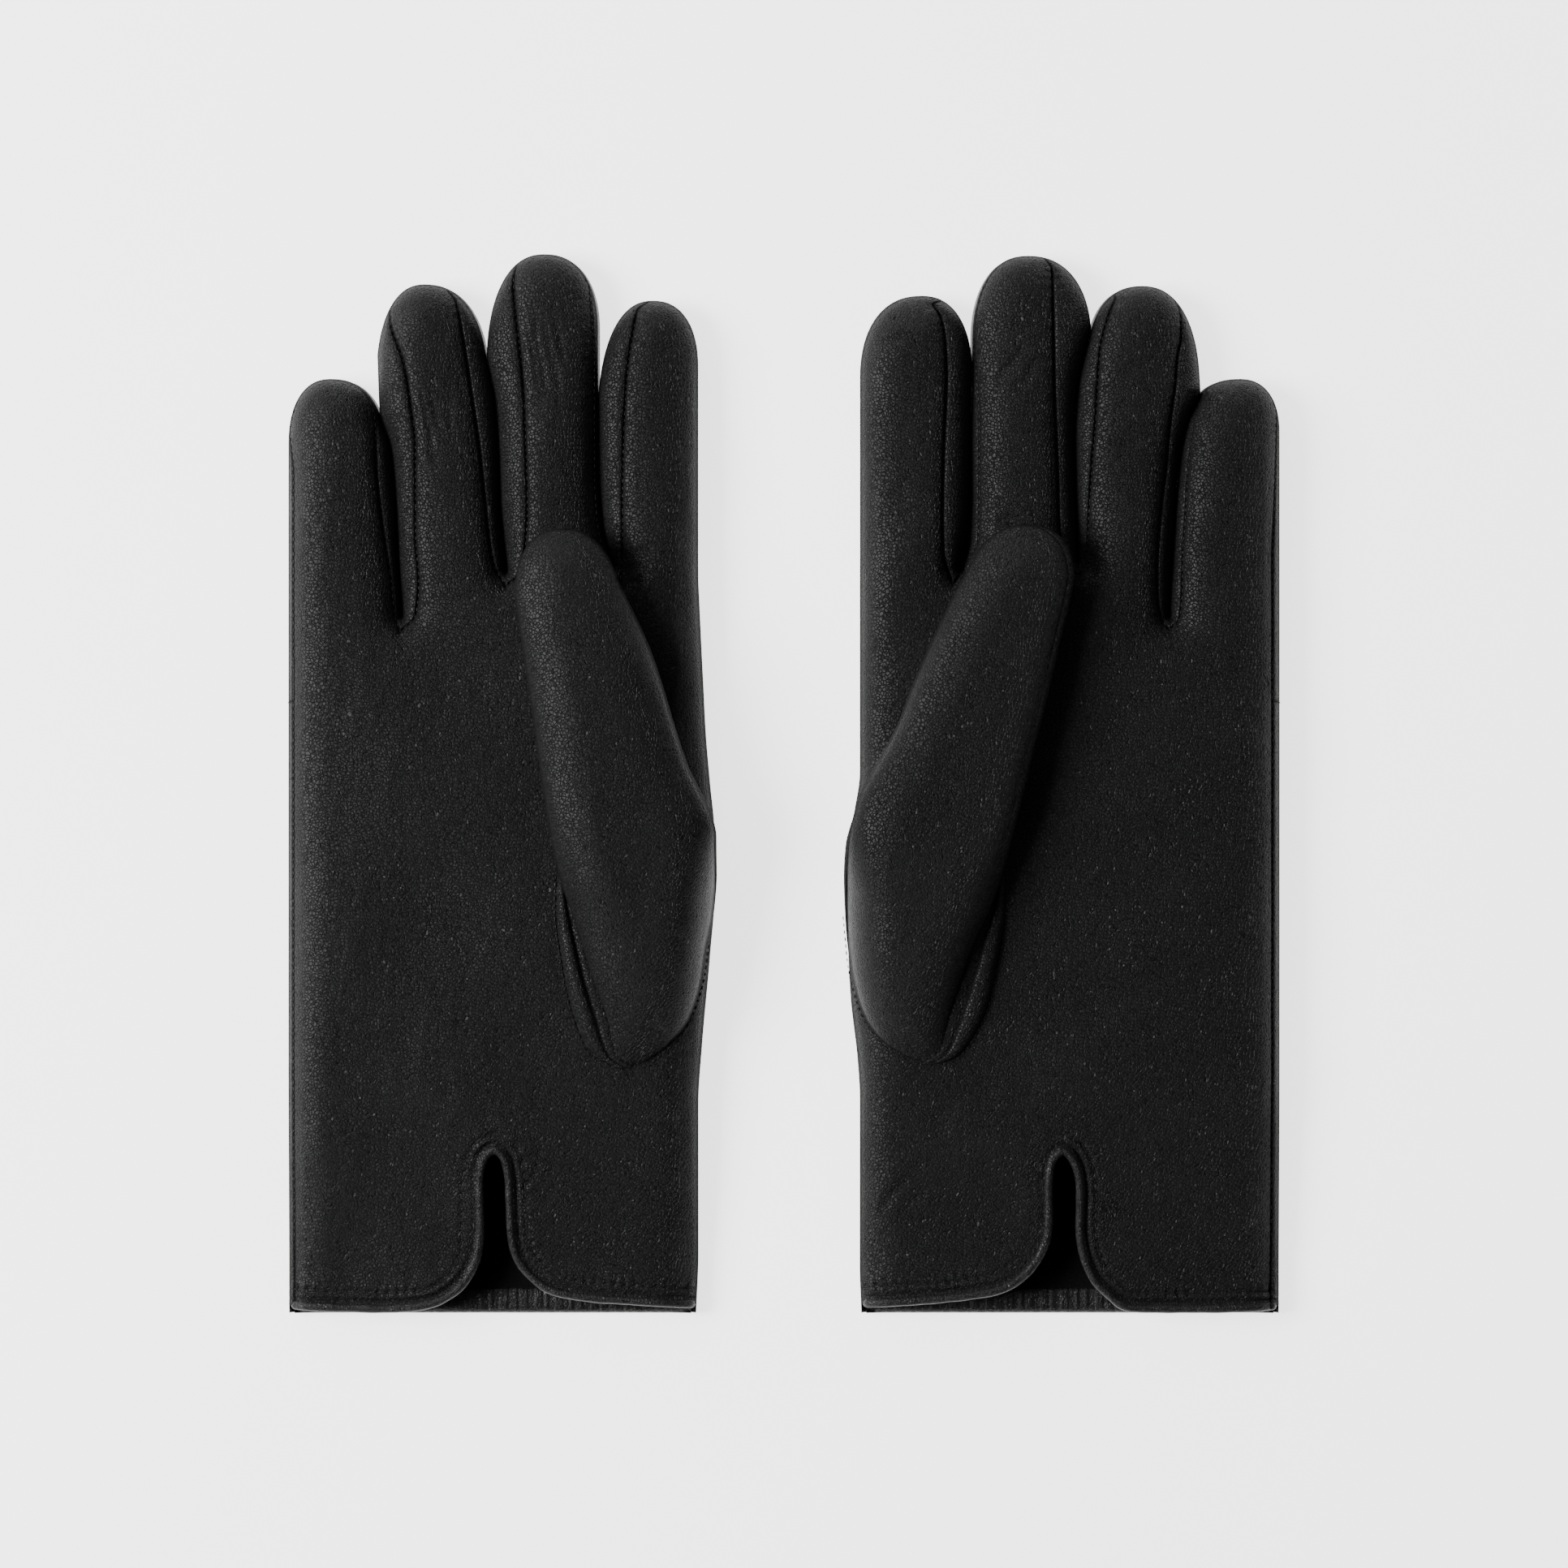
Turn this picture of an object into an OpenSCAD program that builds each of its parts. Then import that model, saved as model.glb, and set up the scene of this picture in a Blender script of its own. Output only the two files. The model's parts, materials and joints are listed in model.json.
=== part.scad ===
// Pair of lined leather dress gloves, lying flat on their backs with the thumbs across the palms.
// Each glove is cut from thin leather panels sewn over a knitted lining. The fingers bend at two
// knuckles towards the palm, and the thumb lifts off the palm.

/* [Leather and lining] */
// Thickness of the glove leather
leather_t = 0.9; // [0.6:0.1:1.2]
// Thickness of the knitted lining
lining_t = 0.6; // [0.4:0.1:0.8]
// Height of the hand and the fingers, lying flat
hand_h = 15; // [13:0.5:18]
// Height of the thumb, which lies on the palm
thumb_h = 13; // [11:0.5:15]

/* [Cuff] */
// Distance from the middle of the pair down to the hem
hem_y = 130; // [120:1:135]
// Distance from the middle of the pair down to the top of the palm vent
vent_top_y = 90; // [80:1:100]
// Width of the vent opening above its flare
vent_w = 4.8; // [4:0.2:7]
// Width of the rolled binding along the hem and the vent
binding_w = 2; // [1.5:0.1:3]

/* [Fit between the moving stretches] */
// Clearance at each knuckle and under the thumb
joint_gap = 0.4; // [0.3:0.1:0.8]

/* [Hidden] */
$fn = 48;

// Clearance between the leather and its lining
lining_gap = 0.1;
// Overlap that carries a cut past the face that it opens
past = 1;
// Depth of the web that joins the two strips of a fourchette at the crotch
web_depth = 3;
// How far the binding stands above the palm leather, and how far it reaches below it
binding_proud = 0.4;
binding_below = 0.7;
// Distance from the middle of the pair to the little finger's edge
outer_x = 121.6;
// How far below a finger's root the edge of the palm turns into the edge of the finger
edge_turn = 6;
// Hole to the thumb: its radius and the two ends of its slot along the thumb's frame
thumb_hole_r = 12;
thumb_hole_y = [-32, -16];
// Point towards which the walls of the thumb's base are taken in
thumb_base_middle = [-34, -38];

// A glove lies left of the middle of the pair as it is written here, and the left-hand one is mirrored.
// Fingers: name, middle of the root (x, y), lean towards the little finger in degrees, width,
// distances from the root to the first knuckle, the second knuckle and the tip, and the side that is
// a fold of the main panel: 1 towards the index edge, -1 towards the little finger's edge, 0 for none.
right_fingers = [
    ["index", [-30.7, 48.8], 1.5, 19.4, 27, 49, 69.8, 1],
    ["middle", [-53.8, 48.8], 4.5, 26, 31, 56, 81.4, 0],
    ["ring", [-81.3, 47], 5.3, 26, 30, 53, 75.9, 0],
    ["little", [-107.8, 37], 2.5, 22.6, 24, 42, 62.4, -1],
];
left_fingers = [
    ["index", [-29.8, 49], 3.3, 21.6, 27, 49, 71, 1],
    ["middle", [-56.2, 49], 2.6, 28, 31, 56, 81, 0],
    ["ring", [-83.8, 48], 3.2, 24, 30, 53, 74.5, 0],
    ["little", [-108.2, 38], 2.5, 22.4, 24, 42, 61.5, -1],
];

// Thumbs: middle of the hinge line (x, y), lean in degrees and length from the hinge line to the tip.
right_thumb = [[-36.4, -15], 12, 78.6];
left_thumb = [[-35.2, -15], 16.5, 81];
// Half widths along the thumb: distance from the hinge line, half width
thumb_widths = [[0, 19.2], [44, 16], [66, 10.6]];

// Gloves: name, mirrored or not, x of the index edge, x of the vent, fingers, thumb and
// the outline of the thumb's base below its hinge line.
right_glove = [
    "right", false, -21, -71, right_fingers, right_thumb,
    [[-52, -36], [-45, -60], [-37.5, -69], [-30, -66], [-22, -55], [-17.4, -34], [-16.8, -20]],
];
left_glove = [
    "left", true, -18.6, -68.4, left_fingers, left_thumb,
    [[-49.5, -36], [-42, -60], [-35, -68], [-27, -65], [-19, -52], [-15.4, -36], [-15, -20]],
];
gloves = [right_glove, left_glove];

// Half of the vent's outline from its round top down past the hem: distance from its middle, y
vent_edge = [
    [0, -vent_top_y - vent_w / 2],
    [0, -hem_y + 18],
    [1.6, -hem_y + 12],
    [5.6, -hem_y + 6],
    [10.6, -hem_y + 2],
    [12, -hem_y - past],
];

function side(g) = g[0];
function index_x(g) = g[2];
function vent_x(g) = g[3];
function fingers(g) = g[4];
function thumb(g) = g[5];
function thumb_base_outline(g) = g[6];

function root(f) = f[1];
function lean(f) = f[2];
function width(f) = f[3];
function knuckle_1(f) = f[4];
function knuckle_2(f) = f[5];
function tip(f) = f[6];
function fold_side(f) = f[7];

// A point in the glove's plane, across and along a finger from the middle of its root
function on_finger(f, across, along) = root(f) + [
    across * cos(lean(f)) - along * sin(lean(f)),
    across * sin(lean(f)) + along * cos(lean(f)),
];

hand_parts = ["palm_panel", "back_panel", "index_middle_fourchette", "middle_ring_fourchette",
    "ring_little_fourchette", "hem_binding", "palm_lining", "thumb_base", "thumb_leather", "thumb_lining"];
finger_parts = ["mid_panel", "mid_fourchette", "mid_lining", "tip_leather", "tip_lining"];
NODES = [for (g = gloves) each concat(
    [for (p = hand_parts) str(side(g), "_", p)],
    [for (f = fingers(g)) for (p = finger_parts) str(side(g), "_", f[0], "_", p)]
)];
node = "all";

leather = "#232225";
fourchette_leather = "#2c2b2e";
binding_leather = "#18171a";
lining_knit = "#3a3632";

// ---- Slabs: outlines in the plane of the glove, each between two heights z = [bottom, top] ----

// A flat polygon between two heights
module slab(points, z) {
    translate([0, 0, z[0]])
        linear_extrude(z[1] - z[0])
            polygon(points);
}

// A rectangle from one corner to the other between two heights
module block(low, high, z) {
    translate([low[0], low[1], z[0]])
        cube([high[0] - low[0], high[1] - low[1], z[1] - z[0]]);
}

// A disc about a point between two heights
module disc(middle, r, z) {
    translate([middle[0], middle[1], z[0]])
        cylinder(z[1] - z[0], r, r);
}

// Heights from the floor to the top of the hand, taken in by inset at both
function hand_z(inset) = [inset, hand_h - inset];

// Places a finger's own frame: root at the origin, the finger along +Y
module at_finger(f) {
    translate(concat(root(f), 0))
        rotate([0, 0, lean(f)])
            children();
}

// A straight stretch of a finger between two distances from its root, its sides taken in by inset
module finger_strip(f, from, to, inset, z) {
    half = width(f) / 2 - inset;
    at_finger(f)
        block([-half, from], [half, to], z);
}

// The end of a finger, from a distance along it to its round tip
module finger_end(f, from, inset, z) {
    middle = tip(f) - width(f) / 2;
    finger_strip(f, from, middle, inset, z);
    intersection() {
        finger_strip(f, from, tip(f), inset, z);
        at_finger(f)
            disc([0, middle], width(f) / 2 - inset, z);
    }
}

// The edges of a finger up to the first knuckle, from the little finger's side to the index side.
// reach lengthens the finger past the knuckle.
function finger_edges(f, inset, reach) = let(
    half = width(f) / 2 - inset,
    top = knuckle_1(f) - joint_gap / 2 + reach
) [on_finger(f, -half, -inset), on_finger(f, -half, top), on_finger(f, half, top), on_finger(f, half, -inset)];

// The hand: the palm from the hem up to the crotches, with the four fingers up to the first knuckles
module hand_slab(g, inset, hem, reach, z) {
    f = fingers(g);
    slab(concat(
        [[-outer_x + inset, hem], [-outer_x + inset, root(f[3])[1] - edge_turn]],
        [for (i = [3:-1:0]) each finger_edges(f[i], inset, reach)],
        [[index_x(g) - inset, root(f[0])[1] - edge_turn], [index_x(g) - inset, hem]]
    ), z);
}

// The vent in the palm at the cuff: a slot with a round top that flares into the hem
module vent_slab(g, grow, z) {
    half = vent_w / 2 + grow;
    right_edge = [for (p = vent_edge) [vent_x(g) + half + p[0], p[1]]];
    left_edge = [for (i = [len(vent_edge) - 1:-1:0]) [vent_x(g) - half - vent_edge[i][0], vent_edge[i][1]]];
    slab(concat(right_edge, left_edge), z);
    disc([vent_x(g), vent_edge[0][1]], half, z);
}

// Places the thumb's own frame: hinge line on the X axis, the thumb along +Y
module at_thumb(g) {
    translate(concat(thumb(g)[0], 0))
        rotate([0, 0, thumb(g)[1]])
            children();
}

// Hole under the thumb's base, through which the thumb is reached from the palm
module thumb_hole(g, z) {
    at_thumb(g) {
        block([-thumb_hole_r, thumb_hole_y[0]], [thumb_hole_r, thumb_hole_y[1]], z);
        for (y = thumb_hole_y)
            disc([0, y], thumb_hole_r, z);
    }
}

// The moving stretch of the thumb, from a distance along it to its round tip
module thumb_slab(g, from, inset, z) {
    last = len(thumb_widths) - 1;
    tip_r = thumb_widths[last][1];
    middle = thumb(g)[2] - tip_r;
    along = [from, thumb_widths[1][0], middle];
    half = [for (w = thumb_widths) w[1] - inset];
    at_thumb(g) {
        slab(concat(
            [for (i = [0:last]) [half[i], along[i]]],
            [for (i = [last:-1:0]) [-half[i], along[i]]]
        ), z);
        disc([0, middle], tip_r - inset, z);
    }
}

// The thumb's base below the hinge line, taken in by inset towards its middle
module thumb_base_slab(g, inset, reach, z) {
    t = thumb(g);
    half = thumb_widths[0][1] - inset;
    edge = joint_gap / 2 - reach;
    taken_in = [for (p = thumb_base_outline(g)) p + inset * (thumb_base_middle - p) / norm(thumb_base_middle - p)];
    slab(concat(
        [t[0] + [-half * cos(t[1]) + edge * sin(t[1]), -half * sin(t[1]) - edge * cos(t[1])]],
        taken_in,
        [t[0] + [half * cos(t[1]) + edge * sin(t[1]), half * sin(t[1]) - edge * cos(t[1])]]
    ), z);
}

// ---- Pieces of the hand ----

// Palm of the main panel, with the finger fronts up to the first knuckles
module palm_panel(g) {
    cut = [hand_h - leather_t - past, hand_h + past];
    color(leather)
        difference() {
            hand_slab(g, 0, -hem_y + binding_w, 0, [hand_h - leather_t, hand_h]);
            vent_slab(g, binding_w, cut);
            thumb_hole(g, cut);
        }
}

// A side wall of the back panel, along the palm's edge and then along a finger's edge.
// inward is the way towards the middle of the hand along X.
module edge_wall(f, edge_x, inward) {
    across = -inward * width(f) / 2;
    top = knuckle_1(f) - joint_gap / 2;
    turn = root(f)[1] - edge_turn;
    slab([
        [edge_x, -hem_y],
        [edge_x, turn],
        on_finger(f, across, 0),
        on_finger(f, across, top),
        on_finger(f, across + inward * leather_t, top),
        on_finger(f, across + inward * leather_t, 0),
        [edge_x + inward * leather_t, turn],
        [edge_x + inward * leather_t, -hem_y],
    ], hand_z(leather_t));
}

// Back of the main panel, which turns up at both edges to meet the palm
module back_panel(g) {
    f = fingers(g);
    color(leather) {
        hand_slab(g, 0, -hem_y, 0, [0, leather_t]);
        edge_wall(f[3], -outer_x, 1);
        edge_wall(f[0], index_x(g), -1);
    }
}

// The lower stretch of a fourchette: a strip along each of two neighbouring fingers, joined at the crotch
module fork_fourchette(a, b) {
    a_side = -width(a) / 2;
    b_side = width(b) / 2;
    a_top = knuckle_1(a) - joint_gap / 2;
    b_top = knuckle_1(b) - joint_gap / 2;
    color(fourchette_leather)
        slab([
            on_finger(a, a_side + leather_t, 0),
            on_finger(a, a_side + leather_t, a_top),
            on_finger(a, a_side, a_top),
            on_finger(a, a_side, web_depth),
            on_finger(b, b_side, web_depth),
            on_finger(b, b_side, b_top),
            on_finger(b, b_side - leather_t, b_top),
            on_finger(b, b_side - leather_t, 0),
        ], hand_z(leather_t));
}

// Rolled binding along the front hem and round the vent
module hem_binding(g) {
    z = [hand_h - leather_t - binding_below, hand_h + binding_proud];
    cut = [z[0] - past, z[1] + past];
    color(binding_leather)
        difference() {
            union() {
                vent_slab(g, binding_w, z);
                block([-outer_x + leather_t, -hem_y], [index_x(g) - leather_t, -hem_y + binding_w], z);
            }
            vent_slab(g, 0, cut);
            block([-outer_x, -hem_y - 2 * past], [0, -hem_y], cut);
        }
}

// Knitted lining of the hand: a flat bag, open at the cuff, the finger strips and the thumb hole
module palm_lining(g) {
    outside = leather_t + lining_gap;
    inside = outside + lining_t;
    hem = -hem_y + binding_w + lining_gap;
    cut = [hand_h - inside - past, hand_h];
    color(lining_knit)
        difference() {
            hand_slab(g, outside, hem, 0, hand_z(outside));
            hand_slab(g, inside, hem - past, past, hand_z(inside));
            thumb_hole(g, cut);
            vent_slab(g, binding_w + lining_gap, cut);
        }
}

// Set-in base of the thumb, sewn to the palm along its curved lower edge
module thumb_base(g) {
    top = hand_h + joint_gap + thumb_h;
    color(leather)
        difference() {
            thumb_base_slab(g, 0, 0, [hand_h, top]);
            thumb_base_slab(g, leather_t, past, [hand_h - past, top - leather_t]);
        }
}

// ---- Thumb, from its hinge line to the tip ----

// Heights of the thumb, taken in by inset at both
function thumb_z(inset) = [hand_h + joint_gap + inset, hand_h + joint_gap + thumb_h - inset];

// A tube with the thumb's outline, open at the hinge line
module thumb_tube(g, outside, inside) {
    difference() {
        thumb_slab(g, joint_gap / 2, outside, thumb_z(outside));
        thumb_slab(g, -past, inside, thumb_z(inside));
    }
}

module thumb_leather(g) {
    color(leather)
        thumb_tube(g, 0, leather_t);
}

module thumb_lining(g) {
    outside = leather_t + lining_gap;
    color(lining_knit)
        thumb_tube(g, outside, outside + lining_t);
}

// ---- Fingers, from the first knuckle to the tip ----

// Where the middle stretch of a finger starts and ends, and where its tip starts
function mid_start(f) = knuckle_1(f) + joint_gap / 2;
function mid_end(f) = knuckle_2(f) - joint_gap / 2;
function tip_start(f) = knuckle_2(f) + joint_gap / 2;

// Front and back of a finger's middle stretch, joined by the fold where the finger has one
module mid_panel(f) {
    half = width(f) / 2;
    left = fold_side(f) < 0 ? leather_t - half : -half - past;
    right = fold_side(f) > 0 ? half - leather_t : half + past;
    color(leather)
        at_finger(f)
            difference() {
                block([-half, mid_start(f)], [half, mid_end(f)], hand_z(0));
                block([left, mid_start(f) - past], [right, mid_end(f) + past], hand_z(leather_t));
            }
}

// Side strips of the middle stretch, on each side that isn't a fold
module mid_fourchette(f) {
    color(fourchette_leather)
        at_finger(f)
            for (s = [-1, 1])
                if (s != fold_side(f)) {
                    edge = s > 0 ? width(f) / 2 - leather_t : -width(f) / 2;
                    block([edge, mid_start(f)], [edge + leather_t, mid_end(f)], hand_z(leather_t));
                }
}

// Sleeve of lining inside the middle stretch
module mid_lining(f) {
    outside = leather_t + lining_gap;
    inside = outside + lining_t;
    color(lining_knit)
        difference() {
            finger_strip(f, mid_start(f), mid_end(f), outside, hand_z(outside));
            finger_strip(f, mid_start(f) - past, mid_end(f) + past, inside, hand_z(inside));
        }
}

// A cap with the outline of a finger's end, open at the second knuckle
module tip_cap(f, outside, inside) {
    difference() {
        finger_end(f, tip_start(f), outside, hand_z(outside));
        finger_end(f, tip_start(f) - past, inside, hand_z(inside));
    }
}

module tip_leather(f) {
    color(leather)
        tip_cap(f, 0, leather_t);
}

module tip_lining(f) {
    outside = leather_t + lining_gap;
    color(lining_knit)
        tip_cap(f, outside, outside + lining_t);
}

// ---- The pair ----

// Puts a glove on its own side of the pair
module on_side(g) {
    mirror([g[1] ? 1 : 0, 0, 0])
        children();
}

// True when the named part is wanted
function wanted(g, part) = node == "all" || node == str(side(g), "_", part);

for (g = gloves)
    on_side(g) {
        if (wanted(g, "palm_panel")) palm_panel(g);
        if (wanted(g, "back_panel")) back_panel(g);
        if (wanted(g, "index_middle_fourchette")) fork_fourchette(fingers(g)[0], fingers(g)[1]);
        if (wanted(g, "middle_ring_fourchette")) fork_fourchette(fingers(g)[1], fingers(g)[2]);
        if (wanted(g, "ring_little_fourchette")) fork_fourchette(fingers(g)[2], fingers(g)[3]);
        if (wanted(g, "hem_binding")) hem_binding(g);
        if (wanted(g, "palm_lining")) palm_lining(g);
        if (wanted(g, "thumb_base")) thumb_base(g);
        if (wanted(g, "thumb_leather")) thumb_leather(g);
        if (wanted(g, "thumb_lining")) thumb_lining(g);
        for (f = fingers(g)) {
            if (wanted(g, str(f[0], "_mid_panel"))) mid_panel(f);
            if (wanted(g, str(f[0], "_mid_fourchette"))) mid_fourchette(f);
            if (wanted(g, str(f[0], "_mid_lining"))) mid_lining(f);
            if (wanted(g, str(f[0], "_tip_leather"))) tip_leather(f);
            if (wanted(g, str(f[0], "_tip_lining"))) tip_lining(f);
        }
    }
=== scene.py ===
"""Looks of a pair of lined black leather dress gloves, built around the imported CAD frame.

Each glove lies on its back with the thumb across the palm. Shapes are written in millimetres in the
glove's own plane: x from the little finger's edge towards the index finger, y from the hem towards
the fingertips. The left-hand glove is written the same way round and mirrored.
"""

import json
import logging
import math
from dataclasses import dataclass, field
from enum import Enum
from typing import Optional

import bpy
import numpy as np
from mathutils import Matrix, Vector
from mathutils.kdtree import KDTree


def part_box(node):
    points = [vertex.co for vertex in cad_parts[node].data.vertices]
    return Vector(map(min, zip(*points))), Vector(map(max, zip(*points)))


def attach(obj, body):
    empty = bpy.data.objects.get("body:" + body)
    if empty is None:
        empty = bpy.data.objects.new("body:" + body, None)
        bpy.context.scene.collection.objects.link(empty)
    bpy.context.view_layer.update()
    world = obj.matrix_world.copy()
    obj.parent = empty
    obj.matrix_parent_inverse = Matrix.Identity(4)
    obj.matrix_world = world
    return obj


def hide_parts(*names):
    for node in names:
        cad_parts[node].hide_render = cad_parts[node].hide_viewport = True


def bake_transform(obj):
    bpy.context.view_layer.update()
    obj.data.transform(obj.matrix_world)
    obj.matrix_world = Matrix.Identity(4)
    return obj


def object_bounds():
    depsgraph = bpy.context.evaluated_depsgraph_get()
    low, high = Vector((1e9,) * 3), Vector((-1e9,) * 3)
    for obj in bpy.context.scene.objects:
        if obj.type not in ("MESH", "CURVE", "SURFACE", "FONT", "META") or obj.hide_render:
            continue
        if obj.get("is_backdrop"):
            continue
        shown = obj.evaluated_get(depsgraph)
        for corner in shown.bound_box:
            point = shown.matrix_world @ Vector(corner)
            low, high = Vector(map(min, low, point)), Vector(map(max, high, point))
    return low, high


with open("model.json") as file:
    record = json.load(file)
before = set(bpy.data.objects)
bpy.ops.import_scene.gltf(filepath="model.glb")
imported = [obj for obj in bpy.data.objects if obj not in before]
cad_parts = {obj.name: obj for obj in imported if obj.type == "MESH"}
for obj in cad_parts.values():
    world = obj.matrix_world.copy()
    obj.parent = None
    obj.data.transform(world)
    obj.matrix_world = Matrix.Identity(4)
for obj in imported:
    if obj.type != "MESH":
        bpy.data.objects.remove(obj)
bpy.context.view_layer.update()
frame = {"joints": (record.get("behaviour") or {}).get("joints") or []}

Array = np.ndarray
Point = tuple[float, float]
log = logging.getLogger("gloves")

MM = 0.001
CELL = 0.55  # spacing of the leather's mesh, in mm
LINING_CELL = 2.0  # spacing of the lining's mesh, in mm
TUCK_LEVEL = 2.0  # height of the edge that a finger tucks under its neighbour
GAP = 0.04  # space left between a finger and its neighbour, on each side
SIDE_LEVEL = 5.2  # height of a finger's widest line above the floor
HAND_TOP = 14.0  # height of the hand's flat top
CUFF_TOP = 8.6  # height of the palm at the hem
ROLL = 11.0  # distance over which the top rolls down to the side
BACK_ROLL = 7.0  # the same below
BEND_REACH = 8.0  # the leather bends over this distance on either side of a knuckle
LEATHER_TO_LINING = 1.3  # how far the lining lies inside the leather's outside
TUCK = 0.4  # how far a finger's low edge reaches under its neighbour
CUT_MARGIN = 1.0  # the cut between two stretches lies this far below the bending zone
WELD = 0.02  # corners of the skin that round to the same multiple of this are joined
HEM_GROOVE = 1.75  # from the binding's middle to the groove beside it
HEM_ROW = 3.9  # from the binding's middle to the hem's row of stitches
BINDING_RADIUS = 1.1  # half the binding's width
BINDING_SINK = 0.55  # how far the binding's middle lies below the leather's top
GUSSET_FOLD = 0.52  # where the thumb's gusset is folded, as a share of its width


class Label(Enum):
    """The kinds of leather that a face can belong to."""

    PALM = 0
    FOURCHETTE = 1
    BACK = 2


# ---- Curves -------------------------------------------------------------------------------------


def smoothstep(low: float, high: float, value: Array) -> Array:
    """0 below low, 1 above high and a smooth rise between."""
    t = np.clip((value - low) / (high - low), 0.0, 1.0)
    return t * t * (3.0 - 2.0 * t)


def through(value: Array, at: Array, heights: Array) -> Array:
    """Interpolates smoothly through points without overshooting them.

    Args:
        value: where to evaluate; values past the ends take the end's height.
        at: rising positions of the points.
        heights: the points' heights.

    Returns:
        The heights at value.
    """
    gap = np.diff(at)
    slope = np.diff(heights) / gap
    tangent = np.zeros_like(heights)
    both = slope[:-1] * slope[1:]
    rising = both > 0
    total = np.where(rising, slope[:-1] + slope[1:], 1.0)
    tangent[1:-1] = np.where(rising, 2.0 * both / total, 0.0)
    tangent[0], tangent[-1] = slope[0], slope[-1]
    v = np.clip(value, at[0], at[-1])
    i = np.clip(np.searchsorted(at, v, side="right") - 1, 0, len(gap) - 1)
    t = (v - at[i]) / gap[i]
    t2, t3 = t * t, t * t * t
    return (
        (2 * t3 - 3 * t2 + 1) * heights[i]
        + (t3 - 2 * t2 + t) * gap[i] * tangent[i]
        + (3 * t2 - 2 * t3) * heights[i + 1]
        + (t3 - t2) * gap[i] * tangent[i + 1]
    )


def smooth_path(points: tuple[Point, ...], step: float) -> Array:
    """Lays points at about equal steps along a smooth curve.

    Args:
        points: the points that the curve passes through.
        step: the distance between two of the new points, in mm.

    Returns:
        The new points, one per row.
    """
    p = np.array(points, float)
    along = np.concatenate([[0.0], np.cumsum(np.linalg.norm(np.diff(p, axis=0), axis=1))])
    fine = np.linspace(0.0, along[-1], max(2, int(along[-1] / step) + 1))
    ghost = np.vstack([2 * p[0] - p[1], p, 2 * p[-1] - p[-2]])
    i = np.clip(np.searchsorted(along, fine, side="right") - 1, 0, len(p) - 2)
    t = ((fine - along[i]) / (along[i + 1] - along[i]))[:, None]
    a, b, c, d = ghost[i], ghost[i + 1], ghost[i + 2], ghost[i + 3]
    return 0.5 * (2 * b + (c - a) * t + (2 * a - 5 * b + 4 * c - d) * t**2 + (3 * b - a - 3 * c + d) * t**3)


class Paths:
    """Several polylines in the glove's plane, which can be asked for the nearest point on any of them."""

    def __init__(self, lines: list[Array]) -> None:
        """Keeps the lines and sorts their points for searching.

        Args:
            lines: each line's points, close together.
        """
        self.points = np.vstack(lines)
        starts = np.concatenate([np.full(len(line), n) for n, line in enumerate(lines)])
        self.line_of = starts
        step = np.linalg.norm(np.diff(self.points, axis=0), axis=1)
        step[starts[1:] != starts[:-1]] = 0.0
        self.along = np.concatenate([[0.0], np.cumsum(step)])
        self.tree = KDTree(len(self.points))
        for i, p in enumerate(self.points):
            self.tree.insert((p[0], p[1], 0.0), i)
        self.tree.balance()

    def near(self, xy: Array) -> tuple[Array, Array]:
        """Finds the nearest place on any of the lines.

        Args:
            xy: the points that ask, one per row.

        Returns:
            The distance to that place and how far along the lines it is, for each point.
        """
        found = np.array([self.tree.find((x, y, 0.0))[1] for x, y in xy])
        best = np.full(len(xy), np.inf)
        place = np.zeros(len(xy))
        for shift in (-1, 0):
            a = np.clip(found + shift, 0, len(self.points) - 2)
            same = self.line_of[a] == self.line_of[a + 1]
            start, end = self.points[a], self.points[a + 1]
            edge = end - start
            size = np.maximum((edge**2).sum(1), 1e-9)
            t = np.clip(((xy - start) * edge).sum(1) / size, 0.0, 1.0)
            distance = np.linalg.norm(xy - start - t[:, None] * edge, axis=1)
            distance = np.where(same, distance, np.linalg.norm(xy - self.points[found], axis=1))
            closer = distance < best
            best = np.where(closer, distance, best)
            place = np.where(closer, self.along[a] + t * np.sqrt(size) * same, place)
        return best, place


def rolled(distance: Array, reach: float, power: float = 2.3) -> Array:
    """Height of a rolled edge as a share of its top: 0 at the edge and 1 from reach inwards."""
    t = 1.0 - np.clip(distance / reach, 0.0, 1.0)
    return (1.0 - t**power) ** (1.0 / power)


def waves(xy: Array, pitch: float, seed: int) -> Array:
    """Adds up smooth uneven waves of about unit height.

    Args:
        xy: points, one per row.
        pitch: the usual distance from crest to crest, in mm.
        seed: start of the random draws.

    Returns:
        The height at each point.
    """
    rng = np.random.default_rng(seed)
    total = np.zeros(len(xy))
    for _ in range(9):
        angle, phase = rng.uniform(0, 2 * math.pi, 2)
        turn = 2 * math.pi / (pitch * rng.uniform(0.6, 1.6))
        total += np.sin(turn * (xy @ np.array([math.cos(angle), math.sin(angle)])) + phase)
    return total / 3.0


# ---- Shape of a glove in its plane ----------------------------------------------------------------


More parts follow.
